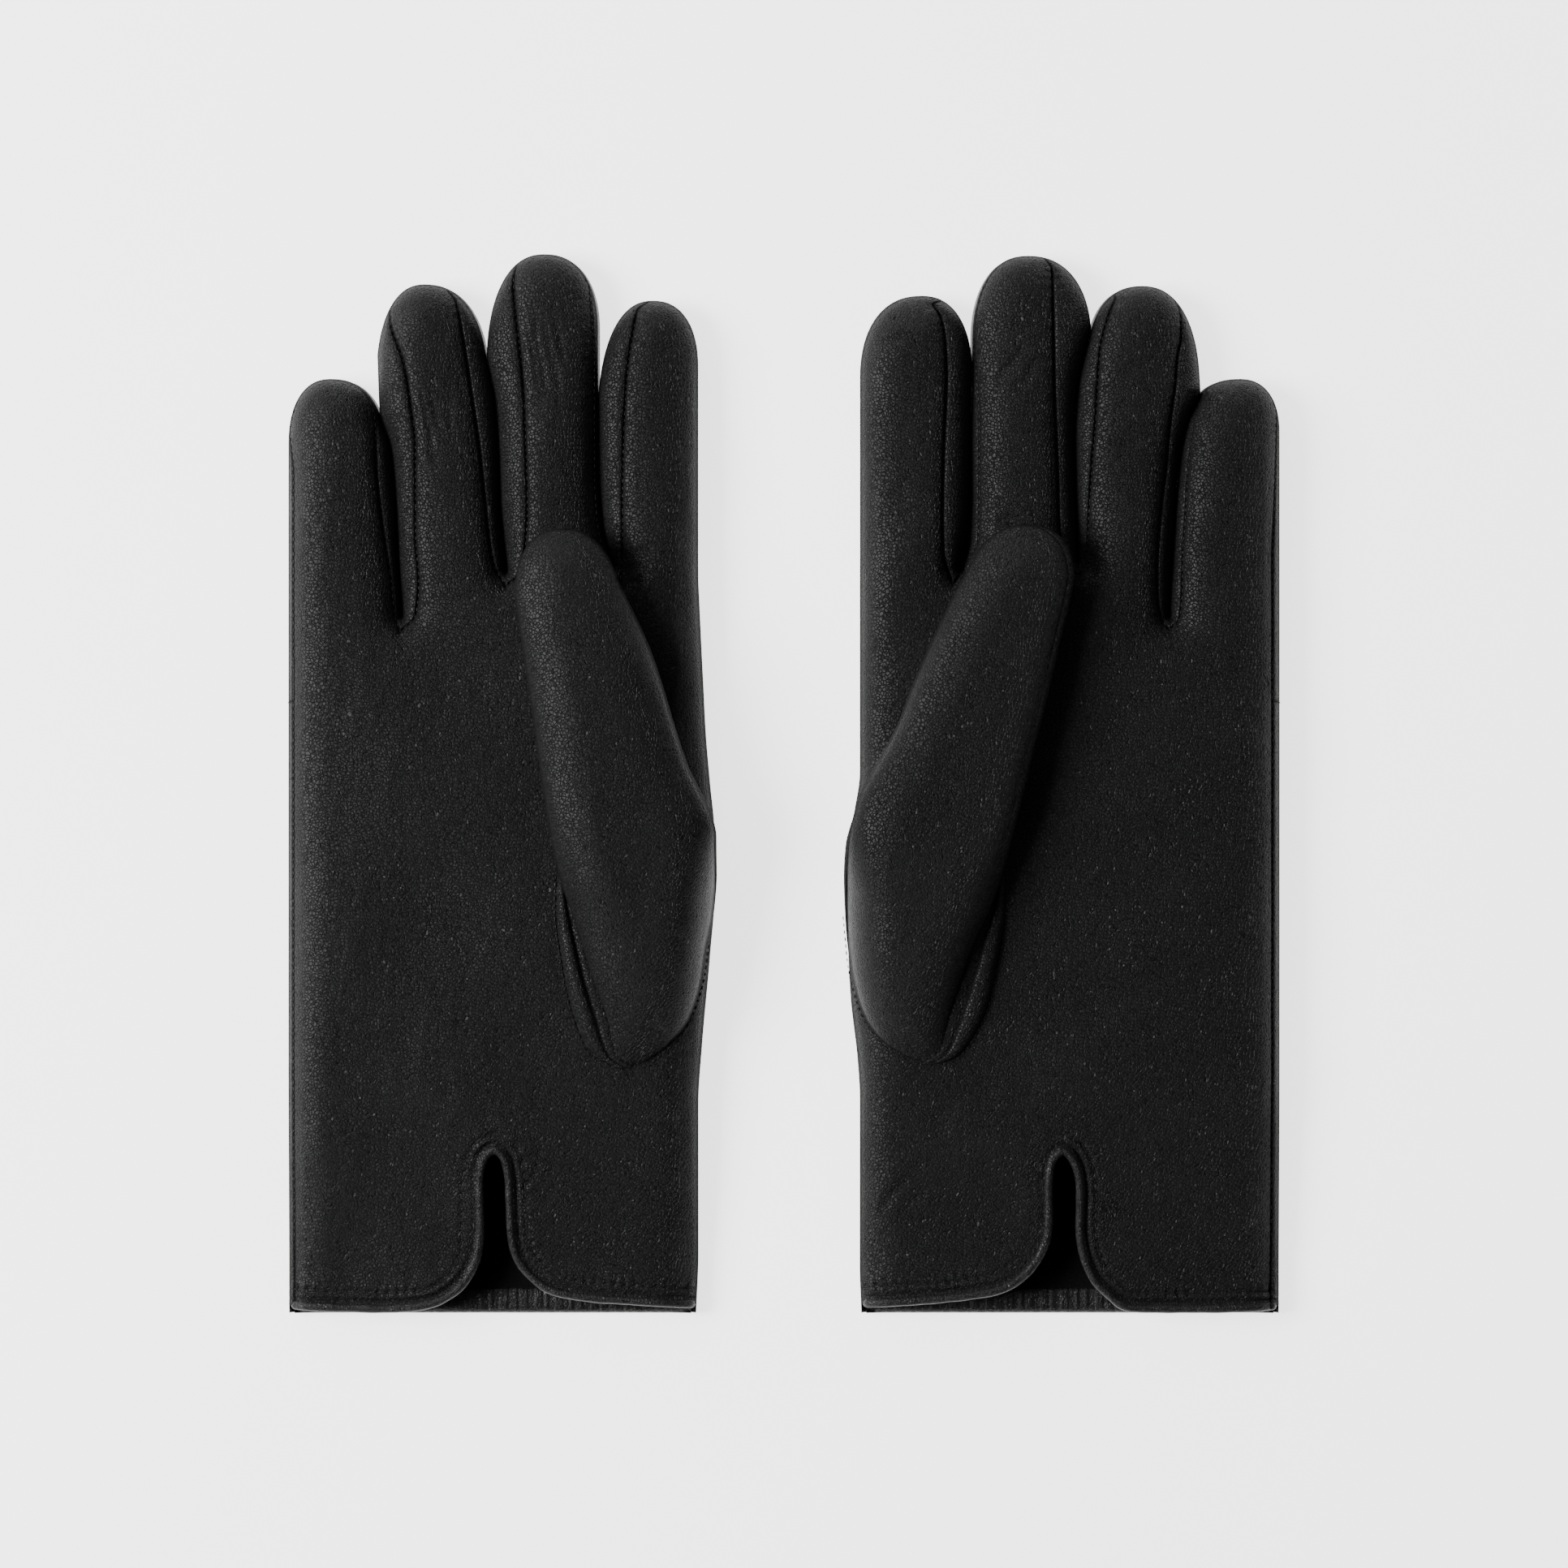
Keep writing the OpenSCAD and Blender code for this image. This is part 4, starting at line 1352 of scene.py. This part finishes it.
    def build_facing(self) -> None:
        """Makes the gathered band that faces the inside of the back at the hem."""
        width = self.shape.body_edge[0][0]
        x = np.linspace(1.2, width - 1.2, 280)
        y = np.array([-0.2, -0.1, 0.3, 1.0, 2.0, 3.2, 4.4, 5.2, 5.6, 5.7])
        height = np.array([0.3, 1.0, 1.8, 2.2, 2.3, 2.3, 2.25, 2.1, 1.7, 1.2])
        gather = 0.12 * np.sin(x * 2.3 + np.sin(x * 0.9)) + 0.08 * np.sin(x * 5.1)
        grid_x, grid_y = np.meshgrid(x, y)
        bow = 0.4 * np.sin(math.pi * x / width)
        xy = np.stack([grid_x, grid_y + bow * (grid_y > 3)], axis=-1).reshape(-1, 2)
        z = (height[:, None] + gather * smoothstep(0.0, 2.0, height)[:, None]).ravel()
        z += self.relief.bottom(np.column_stack([xy[:, 0], np.full(len(xy), 1.0)]))
        quads = grid_faces(len(y), len(x)).reshape(-1, 4)
        faces = np.vstack([quads[:, [0, 1, 2]], quads[:, [0, 2, 3]]])
        if self.shape.mirrored:
            faces = faces[:, ::-1]
        piece = make_mesh(self.node("cuff_facing"), self.place(xy, z), faces)
        add_attribute(piece, "seam_mm", np.full(len(xy), 5.0))
        self.finish(piece, self.finishes.binding)
        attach(piece, self.node("hand"))

    # -- stitches --

    def stitch_line(self, xy: Array, lift: float) -> Array:
        """Places in the frame of a row of points on the top of the leather, raised by lift in mm."""
        z, _ = self.relief.top(xy)
        return self.place(xy, z + lift)

    def build_stitches(self, sewing: "Sewing") -> None:
        """Sews the finger seams, the strip seam, the thumb's base and the hem.

        Args:
            sewing: lays the stitches.
        """
        shape = self.shape
        hand_lines: list[Array] = []
        strip = self.seam_lines[-1][::4]
        hand_lines.append(self.stitch_line(strip[10:], 0.1))
        index = 0
        for finger in shape.fingers:
            first, _ = self.joint_place(f"{finger.name}_bend")
            second, _ = self.joint_place(f"{finger.name}_tip_bend")
            low = self.plane_y(first) - BEND_REACH - CUT_MARGIN
            high = self.plane_y((first + second) / 2)
            by_part: list[list[Array]] = [[], []]
            for seam in (finger.left_seam, finger.right_seam):
                if seam is None:
                    continue
                line = self.seam_lines[index][::2]
                index += 1
                foot = line[line[:, 1] < low]
                if len(foot) > 3:
                    hand_lines.append(self.stitch_line(foot, 0.12))
                mid = line[(line[:, 1] >= low) & (line[:, 1] < high)]
                by_part[0].append(self.stitch_line(mid, 0.12))
                end = line[(line[:, 1] >= high) & (line[:, 1] < finger.tip[1] - 6.0)]
                by_part[1].append(self.stitch_line(end, 0.12))
            name = finger.name
            stretches = (("mid", "hand", f"{name}_bend"), ("tip", f"{name}_mid", f"{name}_tip_bend"))
            for lines, (stretch, parent, joint) in zip(by_part, stretches):
                piece = sewing.sew(self.node(f"{name}_{stretch}_stitches"), lines, SEAM_STITCH)
                self.bend(piece)
        self._sew_base(hand_lines)
        piece = sewing.sew(self.node("hand_stitches"), hand_lines, SEAM_STITCH)
        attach(piece, self.node("hand"))
        hem = sewing.sew(self.node("hem_stitches"), [self._hem_line()], HEM_STITCH)
        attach(hem, self.node("hand"))

    def _sew_base(self, lines: list[Array]) -> None:
        """Adds the seam round the thumb's base.

        Args:
            lines: the hand's rows of stitches, to which it is added.
        """
        shape = self.shape
        outer = np.array(shape.crescent[::-1])
        right = np.array([p for p in shape.thumb_right.points if p[1] < 98.0])
        path = tuple(map(tuple, np.vstack([outer[:-1], right[1:]])))
        curve = smooth_path(path, 0.5)
        tangent = np.gradient(curve, axis=0)
        tangent /= np.linalg.norm(tangent, axis=1)[:, None]
        away = np.column_stack([tangent[:, 1], -tangent[:, 0]])
        middle = curve.mean(0)
        if ((curve + away - middle) ** 2).sum() < ((curve - away - middle) ** 2).sum():
            away = -away
        lines.append(self.stitch_line(curve + away * 0.5, 0.15))

    def _hem_line(self) -> Array:
        """Finds the row of stitches that follows the binding on the palm's side.

        Returns:
            Its points in metres in the frame.
        """
        line = self.binding_line
        tangent = np.gradient(line, axis=0)
        tangent /= np.linalg.norm(tangent, axis=1)[:, None]
        into = np.column_stack([-tangent[:, 1], tangent[:, 0]])
        moved = line + into * HEM_ROW
        gap, _ = self.relief.binding.near(moved)
        width = self.shape.body_edge[0][0]
        keep = (gap > 3.6) & (moved[:, 0] > 1.5) & (moved[:, 0] < width - 1.5)
        return self.stitch_line(moved[keep], 0.12)


# ---- Sewing ---------------------------------------------------------------------------------------


@dataclass(frozen=True)
class Stitch:
    """Size of a stitch in mm."""

    pitch: float
    length: float
    radius: float
    seed: int


SEAM_STITCH = Stitch(pitch=1.7, length=1.05, radius=0.15, seed=4)
HEM_STITCH = Stitch(pitch=2.5, length=1.6, radius=0.16, seed=8)


class Sewing:
    """Lays stitches along lines with one geometry node tree."""

    def __init__(self, thread: bpy.types.Material) -> None:
        """Builds the tree: an even row of points along each line, with a stitch on each.

        Args:
            thread: the thread's material.
        """
        self.thread = thread
        tree = bpy.data.node_groups.new("stitch_row", "GeometryNodeTree")
        face = tree.interface
        face.new_socket("Geometry", in_out="OUTPUT", socket_type="NodeSocketGeometry")
        face.new_socket("Line", in_out="INPUT", socket_type="NodeSocketGeometry")
        for name in ("Pitch", "Length", "Radius"):
            face.new_socket(name, in_out="INPUT", socket_type="NodeSocketFloat")
        face.new_socket("Seed", in_out="INPUT", socket_type="NodeSocketInt")
        face.new_socket("Thread", in_out="INPUT", socket_type="NodeSocketMaterial")
        nodes = Nodes(tree)
        given = nodes.add("NodeGroupInput")
        curve = nodes.add("GeometryNodeMeshToCurve", Mesh=given.outputs["Line"])
        row = nodes.add(
            "GeometryNodeResampleCurve",
            {"mode": "LENGTH"},
            Curve=curve.outputs[0],
            Length=given.outputs["Pitch"],
        )
        ball = nodes.add("GeometryNodeMeshUVSphere", Segments=8, Rings=6, Radius=1.0)
        half = nodes.value(given.outputs["Length"]) * 0.5
        radius = given.outputs["Radius"]
        size = nodes.add("ShaderNodeCombineXYZ", X=radius, Y=radius, Z=half.socket)
        stitch = nodes.add("GeometryNodeTransform", Geometry=ball.outputs["Mesh"], Scale=size.outputs[0])
        tangent = nodes.add("GeometryNodeInputTangent")
        turn = nodes.add("FunctionNodeAlignRotationToVector", {"axis": "Z"}, Vector=tangent.outputs[0])
        vary = nodes.add(
            "FunctionNodeRandomValue",
            {"data_type": "FLOAT"},
            Min_001=0.85,
            Max_001=1.15,
            Seed=given.outputs["Seed"],
        )
        placed = nodes.add(
            "GeometryNodeInstanceOnPoints",
            Points=row.outputs[0],
            Instance=stitch.outputs[0],
            Rotation=turn.outputs[0],
            Scale=vary.outputs[1],
        )
        real = nodes.add("GeometryNodeRealizeInstances", Geometry=placed.outputs[0])
        thread_in = given.outputs["Thread"]
        dyed = nodes.add("GeometryNodeSetMaterial", Geometry=real.outputs[0], Material=thread_in)
        nodes.add("NodeGroupOutput", Geometry=dyed.outputs[0])
        self.tree = tree
        self.sockets = {s.name: s.identifier for s in face.items_tree if s.in_out == "INPUT"}

    def sew(self, name: str, lines: list[Array], stitch: Stitch) -> bpy.types.Object:
        """Makes a plain mesh of stitches along lines.

        Args:
            name: the piece's name.
            lines: rows of points in metres.
            stitch: their size.

        Returns:
            The piece, with the thread's material.
        """
        points = np.vstack(lines)
        edges, count = [], 0
        for line in lines:
            edges += [(count + i, count + i + 1) for i in range(len(line) - 1)]
            count += len(line)
        mesh = bpy.data.meshes.new(f"{name}_line")
        mesh.from_pydata(points.tolist(), edges, [])
        guide = bpy.data.objects.new(f"{name}_line", mesh)
        bpy.context.scene.collection.objects.link(guide)
        modifier = guide.modifiers.new("stitches", "NODES")
        modifier.node_group = self.tree
        sizes = (("Pitch", stitch.pitch), ("Length", stitch.length), ("Radius", stitch.radius))
        for key, size in sizes:
            modifier[self.sockets[key]] = size * MM
        modifier[self.sockets["Seed"]] = stitch.seed
        modifier[self.sockets["Thread"]] = self.thread
        graph = bpy.context.evaluated_depsgraph_get()
        sewn = bpy.data.meshes.new_from_object(guide.evaluated_get(graph))
        sewn.name = name
        bpy.data.objects.remove(guide)
        piece = bpy.data.objects.new(name, sewn)
        bpy.context.scene.collection.objects.link(piece)
        return piece


# ---- Nodes and finishes ------------------------------------------------------------------------------


class Nodes:
    """Adds nodes to a tree, with sockets given by name as values or links."""

    def __init__(self, tree: bpy.types.NodeTree) -> None:
        """Keeps the tree."""
        self.tree = tree

    def add(self, kind: str, settings: Optional[dict] = None, **sockets: object) -> bpy.types.Node:
        """Adds a node.

        Args:
            kind: the node's type name.
            settings: attributes to set first.
            sockets: input values or output sockets to link, by input name or identifier.

        Returns:
            The node.
        """
        node = self.tree.nodes.new(kind)
        for key, value in (settings or {}).items():
            setattr(node, key, value)
        for key, value in sockets.items():
            wanted = key.replace("__", " ")
            target = next(
                s for s in node.inputs if s.identifier == wanted or (s.name == wanted and s.enabled)
            )
            value = value.socket if isinstance(value, Wire) else value
            if isinstance(value, bpy.types.NodeSocket):
                self.tree.links.new(value, target)
            else:
                target.default_value = value
        return node

    def value(self, socket: bpy.types.NodeSocket) -> "Wire":
        """Wraps a number's socket for arithmetic."""
        return Wire(self, socket)

    def mix(self, share: "Wire", low: "Colour", high: "Colour") -> bpy.types.NodeSocket:
        """Mixes two colours.

        Args:
            share: 0 for the first and 1 for the second.
            low: the first colour.
            high: the second.

        Returns:
            The mixed colour's socket.
        """
        colours = {"A_Color": (*low, 1.0), "B_Color": (*high, 1.0)}
        node = self.add("ShaderNodeMix", {"data_type": "RGBA"}, Factor_Float=share, **colours)
        return next(s for s in node.outputs if s.identifier == "Result_Color")


class Wire:
    """A number in a node tree that can be used in arithmetic."""

    def __init__(self, nodes: Nodes, socket: bpy.types.NodeSocket) -> None:
        """Keeps the tree's nodes and the socket that carries the number."""
        self.nodes = nodes
        self.socket = socket

    def math(self, operation: str, *others: object, reverse: bool = False) -> "Wire":
        """Works out one operation with a Math node.

        Args:
            operation: the node's operation.
            others: the numbers that follow this one, as wires or plain values.
            reverse: True to put them the other way round.

        Returns:
            The result.
        """
        node = self.nodes.add("ShaderNodeMath", {"operation": operation})
        terms = [self, *others]
        if reverse:
            terms.reverse()
        for target, term in zip(node.inputs, terms):
            if isinstance(term, Wire):
                self.nodes.tree.links.new(term.socket, target)
            else:
                target.default_value = term
        return Wire(self.nodes, node.outputs[0])

    def __add__(self, other: object) -> "Wire":
        """self + other."""
        return self.math("ADD", other)

    def __radd__(self, other: object) -> "Wire":
        """other + self."""
        return self.math("ADD", other)

    def __sub__(self, other: object) -> "Wire":
        """self - other."""
        return self.math("SUBTRACT", other)

    def __rsub__(self, other: object) -> "Wire":
        """other - self."""
        return self.math("SUBTRACT", other, reverse=True)

    def __mul__(self, other: object) -> "Wire":
        """self * other."""
        return self.math("MULTIPLY", other)

    def __rmul__(self, other: object) -> "Wire":
        """other * self."""
        return self.math("MULTIPLY", other)

    def __truediv__(self, other: object) -> "Wire":
        """self / other."""
        return self.math("DIVIDE", other)

    def __rtruediv__(self, other: object) -> "Wire":
        """other / self."""
        return self.math("DIVIDE", other, reverse=True)

    def rise(self, low: float, high: float) -> "Wire":
        """Turns the number into a smooth rise.

        Args:
            low: where the result is still 0.
            high: where it reaches 1.

        Returns:
            The result.
        """
        node = self.nodes.add(
            "ShaderNodeMapRange",
            {"interpolation_type": "SMOOTHSTEP"},
            Value=self,
            From__Min=low,
            From__Max=high,
        )
        return Wire(self.nodes, node.outputs[0])


Colour = tuple[float, float, float]


@dataclass(frozen=True)
class Leather:
    """A fine-grained leather.

    Attributes:
        name: the material's name.
        dark: colour in the grain's hollows, and the painted shade along seams, hem grooves, folds and
            outlines.
        light: colour of the raised grain.
        roughness: roughness of the raised grain.
        grain: grain cells per mm.
        relief: strength of the grain's bump.
        sheen: the surface's refractive index, which sets how much it reflects.
    """

    name: str
    dark: Colour
    light: Colour
    roughness: float
    grain: float
    relief: float
    sheen: float

    def material(self) -> bpy.types.Material:
        """Builds the material.

        Returns:
            The material.
        """
        made, nodes, surface = start_material(self.name)
        scaled = place_in_mm(nodes)
        cells = nodes.add(
            "ShaderNodeTexVoronoi", {"feature": "DISTANCE_TO_EDGE"}, Vector=scaled, Scale=self.grain
        )
        fine = nodes.add("ShaderNodeTexNoise", Vector=scaled, Scale=1.4, Detail=2.0, Roughness=0.5)
        broad = nodes.add("ShaderNodeTexNoise", Vector=scaled, Scale=0.07, Detail=3.0, Roughness=0.5)
        stretched = nodes.add(
            "ShaderNodeVectorMath", {"operation": "MULTIPLY"}, Vector=scaled, Vector_001=(1.0, 0.45, 1.0)
        ).outputs[0]
        folds = nodes.add("ShaderNodeTexNoise", Vector=stretched, Scale=0.85, Detail=4.0, Roughness=0.6)
        cell = nodes.value(cells.outputs["Distance"]).rise(0.0, 0.16)
        speck = nodes.value(fine.outputs[0])
        cloud = nodes.value(broad.outputs[0])
        fold = nodes.value(folds.outputs[0])
        # The vertex attribute read below is the distance in mm from seams, hem grooves, the gusset's fold and
        # outlines; within about 0.5 mm of them the colour is painted dark as shade and the roughness rises.
        seam = nodes.value(nodes.add("ShaderNodeAttribute", {"attribute_name": "seam_mm"}).outputs["Fac"])
        clear_of_painted_shade = seam.rise(0.05, 0.5)
        height = cell * 0.55 + speck * 0.4 + fold * 0.3
        bump = nodes.add("ShaderNodeBump", Strength=self.relief, Distance=0.8 * MM, Height=height)
        # Mix factor: the grain cells and the random cloud tone are the leather's own; the last factor is
        # painted shade along seams, grooves, folds and outlines.
        shade = (0.35 + 0.65 * cell) * (0.45 + 0.55 * cloud) * clear_of_painted_shade
        colour = nodes.mix(shade, self.dark, self.light)
        rough = self.roughness + 0.14 * (0.5 - speck) + 0.10 * (0.5 - cloud) + 0.4 * (1.0 - clear_of_painted_shade)
        tree = nodes.tree
        tree.links.new(colour, surface.inputs["Base Color"])
        tree.links.new(rough.socket, surface.inputs["Roughness"])
        tree.links.new(bump.outputs[0], surface.inputs["Normal"])
        surface.inputs["IOR"].default_value = self.sheen
        return made


@dataclass(frozen=True)
class Knit:
    """A brushed knitted lining."""

    name: str
    dark: Colour
    light: Colour

    def material(self) -> bpy.types.Material:
        """Builds the material.

        Returns:
            The material.
        """
        made, nodes, surface = start_material(self.name)
        scaled = place_in_mm(nodes)
        pile = nodes.add("ShaderNodeTexNoise", Vector=scaled, Scale=1.6, Detail=6.0, Roughness=0.75)
        nap = nodes.value(pile.outputs[0])
        bump = nodes.add("ShaderNodeBump", Strength=0.8, Distance=0.5 * MM, Height=nap)
        colour = nodes.mix(nap.rise(0.35, 0.7), self.dark, self.light)
        nodes.tree.links.new(colour, surface.inputs["Base Color"])
        nodes.tree.links.new(bump.outputs[0], surface.inputs["Normal"])
        surface.inputs["Roughness"].default_value = 0.95
        surface.inputs["Specular IOR Level"].default_value = 0.15
        return made


@dataclass(frozen=True)
class Thread:
    """Twisted sewing thread."""

    name: str
    colour: Colour

    def material(self) -> bpy.types.Material:
        """Builds the material.

        Returns:
            The material.
        """
        made, nodes, surface = start_material(self.name)
        place = nodes.add("ShaderNodeTexCoord").outputs["Object"]
        twist = nodes.add("ShaderNodeTexNoise", Vector=place, Scale=4000.0, Detail=3.0)
        light = tuple(2.2 * c for c in self.colour)
        colour = nodes.mix(nodes.value(twist.outputs[0]), self.colour, light)
        nodes.tree.links.new(colour, surface.inputs["Base Color"])
        surface.inputs["Roughness"].default_value = 0.55
        surface.inputs["Specular IOR Level"].default_value = 0.3
        return made


def place_in_mm(nodes: Nodes) -> bpy.types.NodeSocket:
    """Finds where a point lies on its piece.

    Args:
        nodes: the material's nodes.

    Returns:
        The place in mm, as a vector's socket.
    """
    place = nodes.add("ShaderNodeTexCoord").outputs["Object"]
    scaled = nodes.add("ShaderNodeVectorMath", {"operation": "SCALE"}, Vector=place, Scale=1.0 / MM)
    return scaled.outputs[0]


def start_material(name: str) -> tuple[bpy.types.Material, Nodes, bpy.types.Node]:
    """Starts a material.

    Args:
        name: its name.

    Returns:
        The material, its nodes and its surface shader.
    """
    made = bpy.data.materials.new(name)
    made.use_nodes = True
    surface = made.node_tree.nodes["Principled BSDF"]
    return made, Nodes(made.node_tree), surface


@dataclass
class Finishes:
    """The materials that the gloves share."""

    leather: bpy.types.Material
    fourchette: bpy.types.Material
    binding: bpy.types.Material
    lining: bpy.types.Material
    thread: bpy.types.Material

    @classmethod
    def make(cls) -> "Finishes":
        """Builds every material.

        Returns:
            The materials.
        """
        black: Colour = (0.0008, 0.0008, 0.0008)
        grain_top: Colour = (0.0095, 0.0095, 0.0098)
        leather = Leather(
            "nappa",
            dark=black,
            light=grain_top,
            roughness=0.46,
            grain=1.25,
            relief=0.62,
            sheen=1.25,
        )
        fourchette = Leather(
            "fourchette_nappa",
            dark=black,
            light=grain_top,
            roughness=0.44,
            grain=1.3,
            relief=0.6,
            sheen=1.25,
        )
        binding = Leather(
            "binding_nappa",
            dark=black,
            light=(0.0095, 0.0095, 0.0095),
            roughness=0.38,
            grain=1.7,
            relief=0.4,
            sheen=1.3,
        )
        return cls(
            leather=leather.material(),
            fourchette=fourchette.material(),
            binding=binding.material(),
            lining=Knit("brushed_knit", dark=black, light=(0.003, 0.0028, 0.0028)).material(),
            thread=Thread("black_thread", black).material(),
        )


# ---- Studio ---------------------------------------------------------------------------------------


@dataclass(frozen=True)
class Studio:
    """A pale floor that glows a little, soft light mostly from the left, and a camera straight above.

    Attributes:
        span: width of the view at the floor, in metres.
        lens: focal length in mm.
        floor_half: half the floor's width, in metres.
        floor_glow: strength of the floor's own light.
        sky: strength of the even light from all sides.
    """

    span: float = 0.3864
    lens: float = 120.0
    floor_half: float = 6.0
    floor_glow: float = 2.4
    sky: float = 0.12

    def build(self) -> None:
        """Makes the floor, the lights and the camera."""
        self._floor()
        low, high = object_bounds()
        middle = (low + high) / 2
        self._light("key", Vector((-1.2, 0.1, 0.95)), middle, 0.8, 54.0)
        self._light("fill", Vector((1.4, -0.4, 1.4)), middle, 1.2, 2.5)
        self._light("far", Vector((-0.7, 1.3, 0.9)), middle, 1.0, 12.0)
        world = bpy.data.worlds.new("studio")
        world.use_nodes = True
        world.node_tree.nodes["Background"].inputs["Color"].default_value = (1.0, 1.0, 1.0, 1.0)
        world.node_tree.nodes["Background"].inputs["Strength"].default_value = self.sky
        bpy.context.scene.world = world
        self._camera()

    def _floor(self) -> None:
        """Lays a wide plain floor."""
        half = self.floor_half
        mesh = bpy.data.meshes.new("floor")
        corners = [(-half, -half, 0), (half, -half, 0), (half, half, 0), (-half, half, 0)]
        mesh.from_pydata(corners, [], [(0, 1, 2, 3)])
        floor = bpy.data.objects.new("floor", mesh)
        bpy.context.scene.collection.objects.link(floor)
        made, nodes, surface = start_material("white_board")
        place = nodes.add("ShaderNodeTexCoord").outputs["Object"]
        mottle = nodes.add("ShaderNodeTexNoise", Vector=place, Scale=400.0, Detail=2.0)
        tone = nodes.value(mottle.outputs[0]) * 0.01 + 0.93
        colour = nodes.add("ShaderNodeCombineColor", Red=tone, Green=tone, Blue=tone)
        nodes.tree.links.new(colour.outputs[0], surface.inputs["Base Color"])
        surface.inputs["Roughness"].default_value = 0.9
        surface.inputs["Specular IOR Level"].default_value = 0.1
        surface.inputs["Emission Color"].default_value = (1.0, 1.0, 1.0, 1.0)
        surface.inputs["Emission Strength"].default_value = self.floor_glow
        mesh.materials.append(made)
        floor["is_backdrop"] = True

    def _light(self, name: str, place: Vector, aim: Vector, size: float, power: float) -> None:
        """Adds a square soft light.

        Args:
            name: the light's name.
            place: where it is.
            aim: the point that it faces.
            size: its side in metres.
            power: its power in watts.
        """
        lamp = bpy.data.lights.new(name, "AREA")
        lamp.shape, lamp.size, lamp.energy = "SQUARE", size, power
        light = bpy.data.objects.new(name, lamp)
        light.location = place
        light.rotation_mode = "QUATERNION"
        light.rotation_quaternion = (aim - place).to_track_quat("-Z", "Y")
        bpy.context.scene.collection.objects.link(light)

    def _camera(self) -> None:
        """Sets a camera straight above the middle of the pair."""
        lens = bpy.data.cameras.new("camera")
        lens.lens, lens.sensor_width = self.lens, 36.0
        camera = bpy.data.objects.new("camera", lens)
        camera.location = (0.0, 0.0, self.span * self.lens / 36.0)
        bpy.context.scene.collection.objects.link(camera)
        bpy.context.scene.camera = camera


def main() -> None:
    """Builds both gloves, then the studio round them."""
    logging.basicConfig(level=logging.INFO, format="%(name)s: %(message)s")
    finishes = Finishes.make()
    sewing = Sewing(finishes.thread)
    for shape in (RIGHT_GLOVE, LEFT_GLOVE):
        glove = Glove(shape, finishes)
        skin = glove.build_skin(CELL, 0.0)
        lining = glove.build_skin(LINING_CELL, LEATHER_TO_LINING)
        log.info("%s skin: %d vertices, %d faces", shape.side, len(skin.points), len(skin.faces))
        glove.build_hand(skin, lining)
        for number, finger in enumerate(shape.fingers):
            glove.build_finger(skin, lining, number, finger)
            log.info("%s %s", shape.side, finger.name)
        glove.build_thumb()
        glove.build_crescent()
        log.info("%s thumb", shape.side)
        glove.build_binding()
        glove.build_facing()
        log.info("%s binding and facing", shape.side)
        glove.build_stitches(sewing)
        log.info("%s stitches", shape.side)
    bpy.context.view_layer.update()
    Studio().build()


if __name__ == "__main__":
    main()
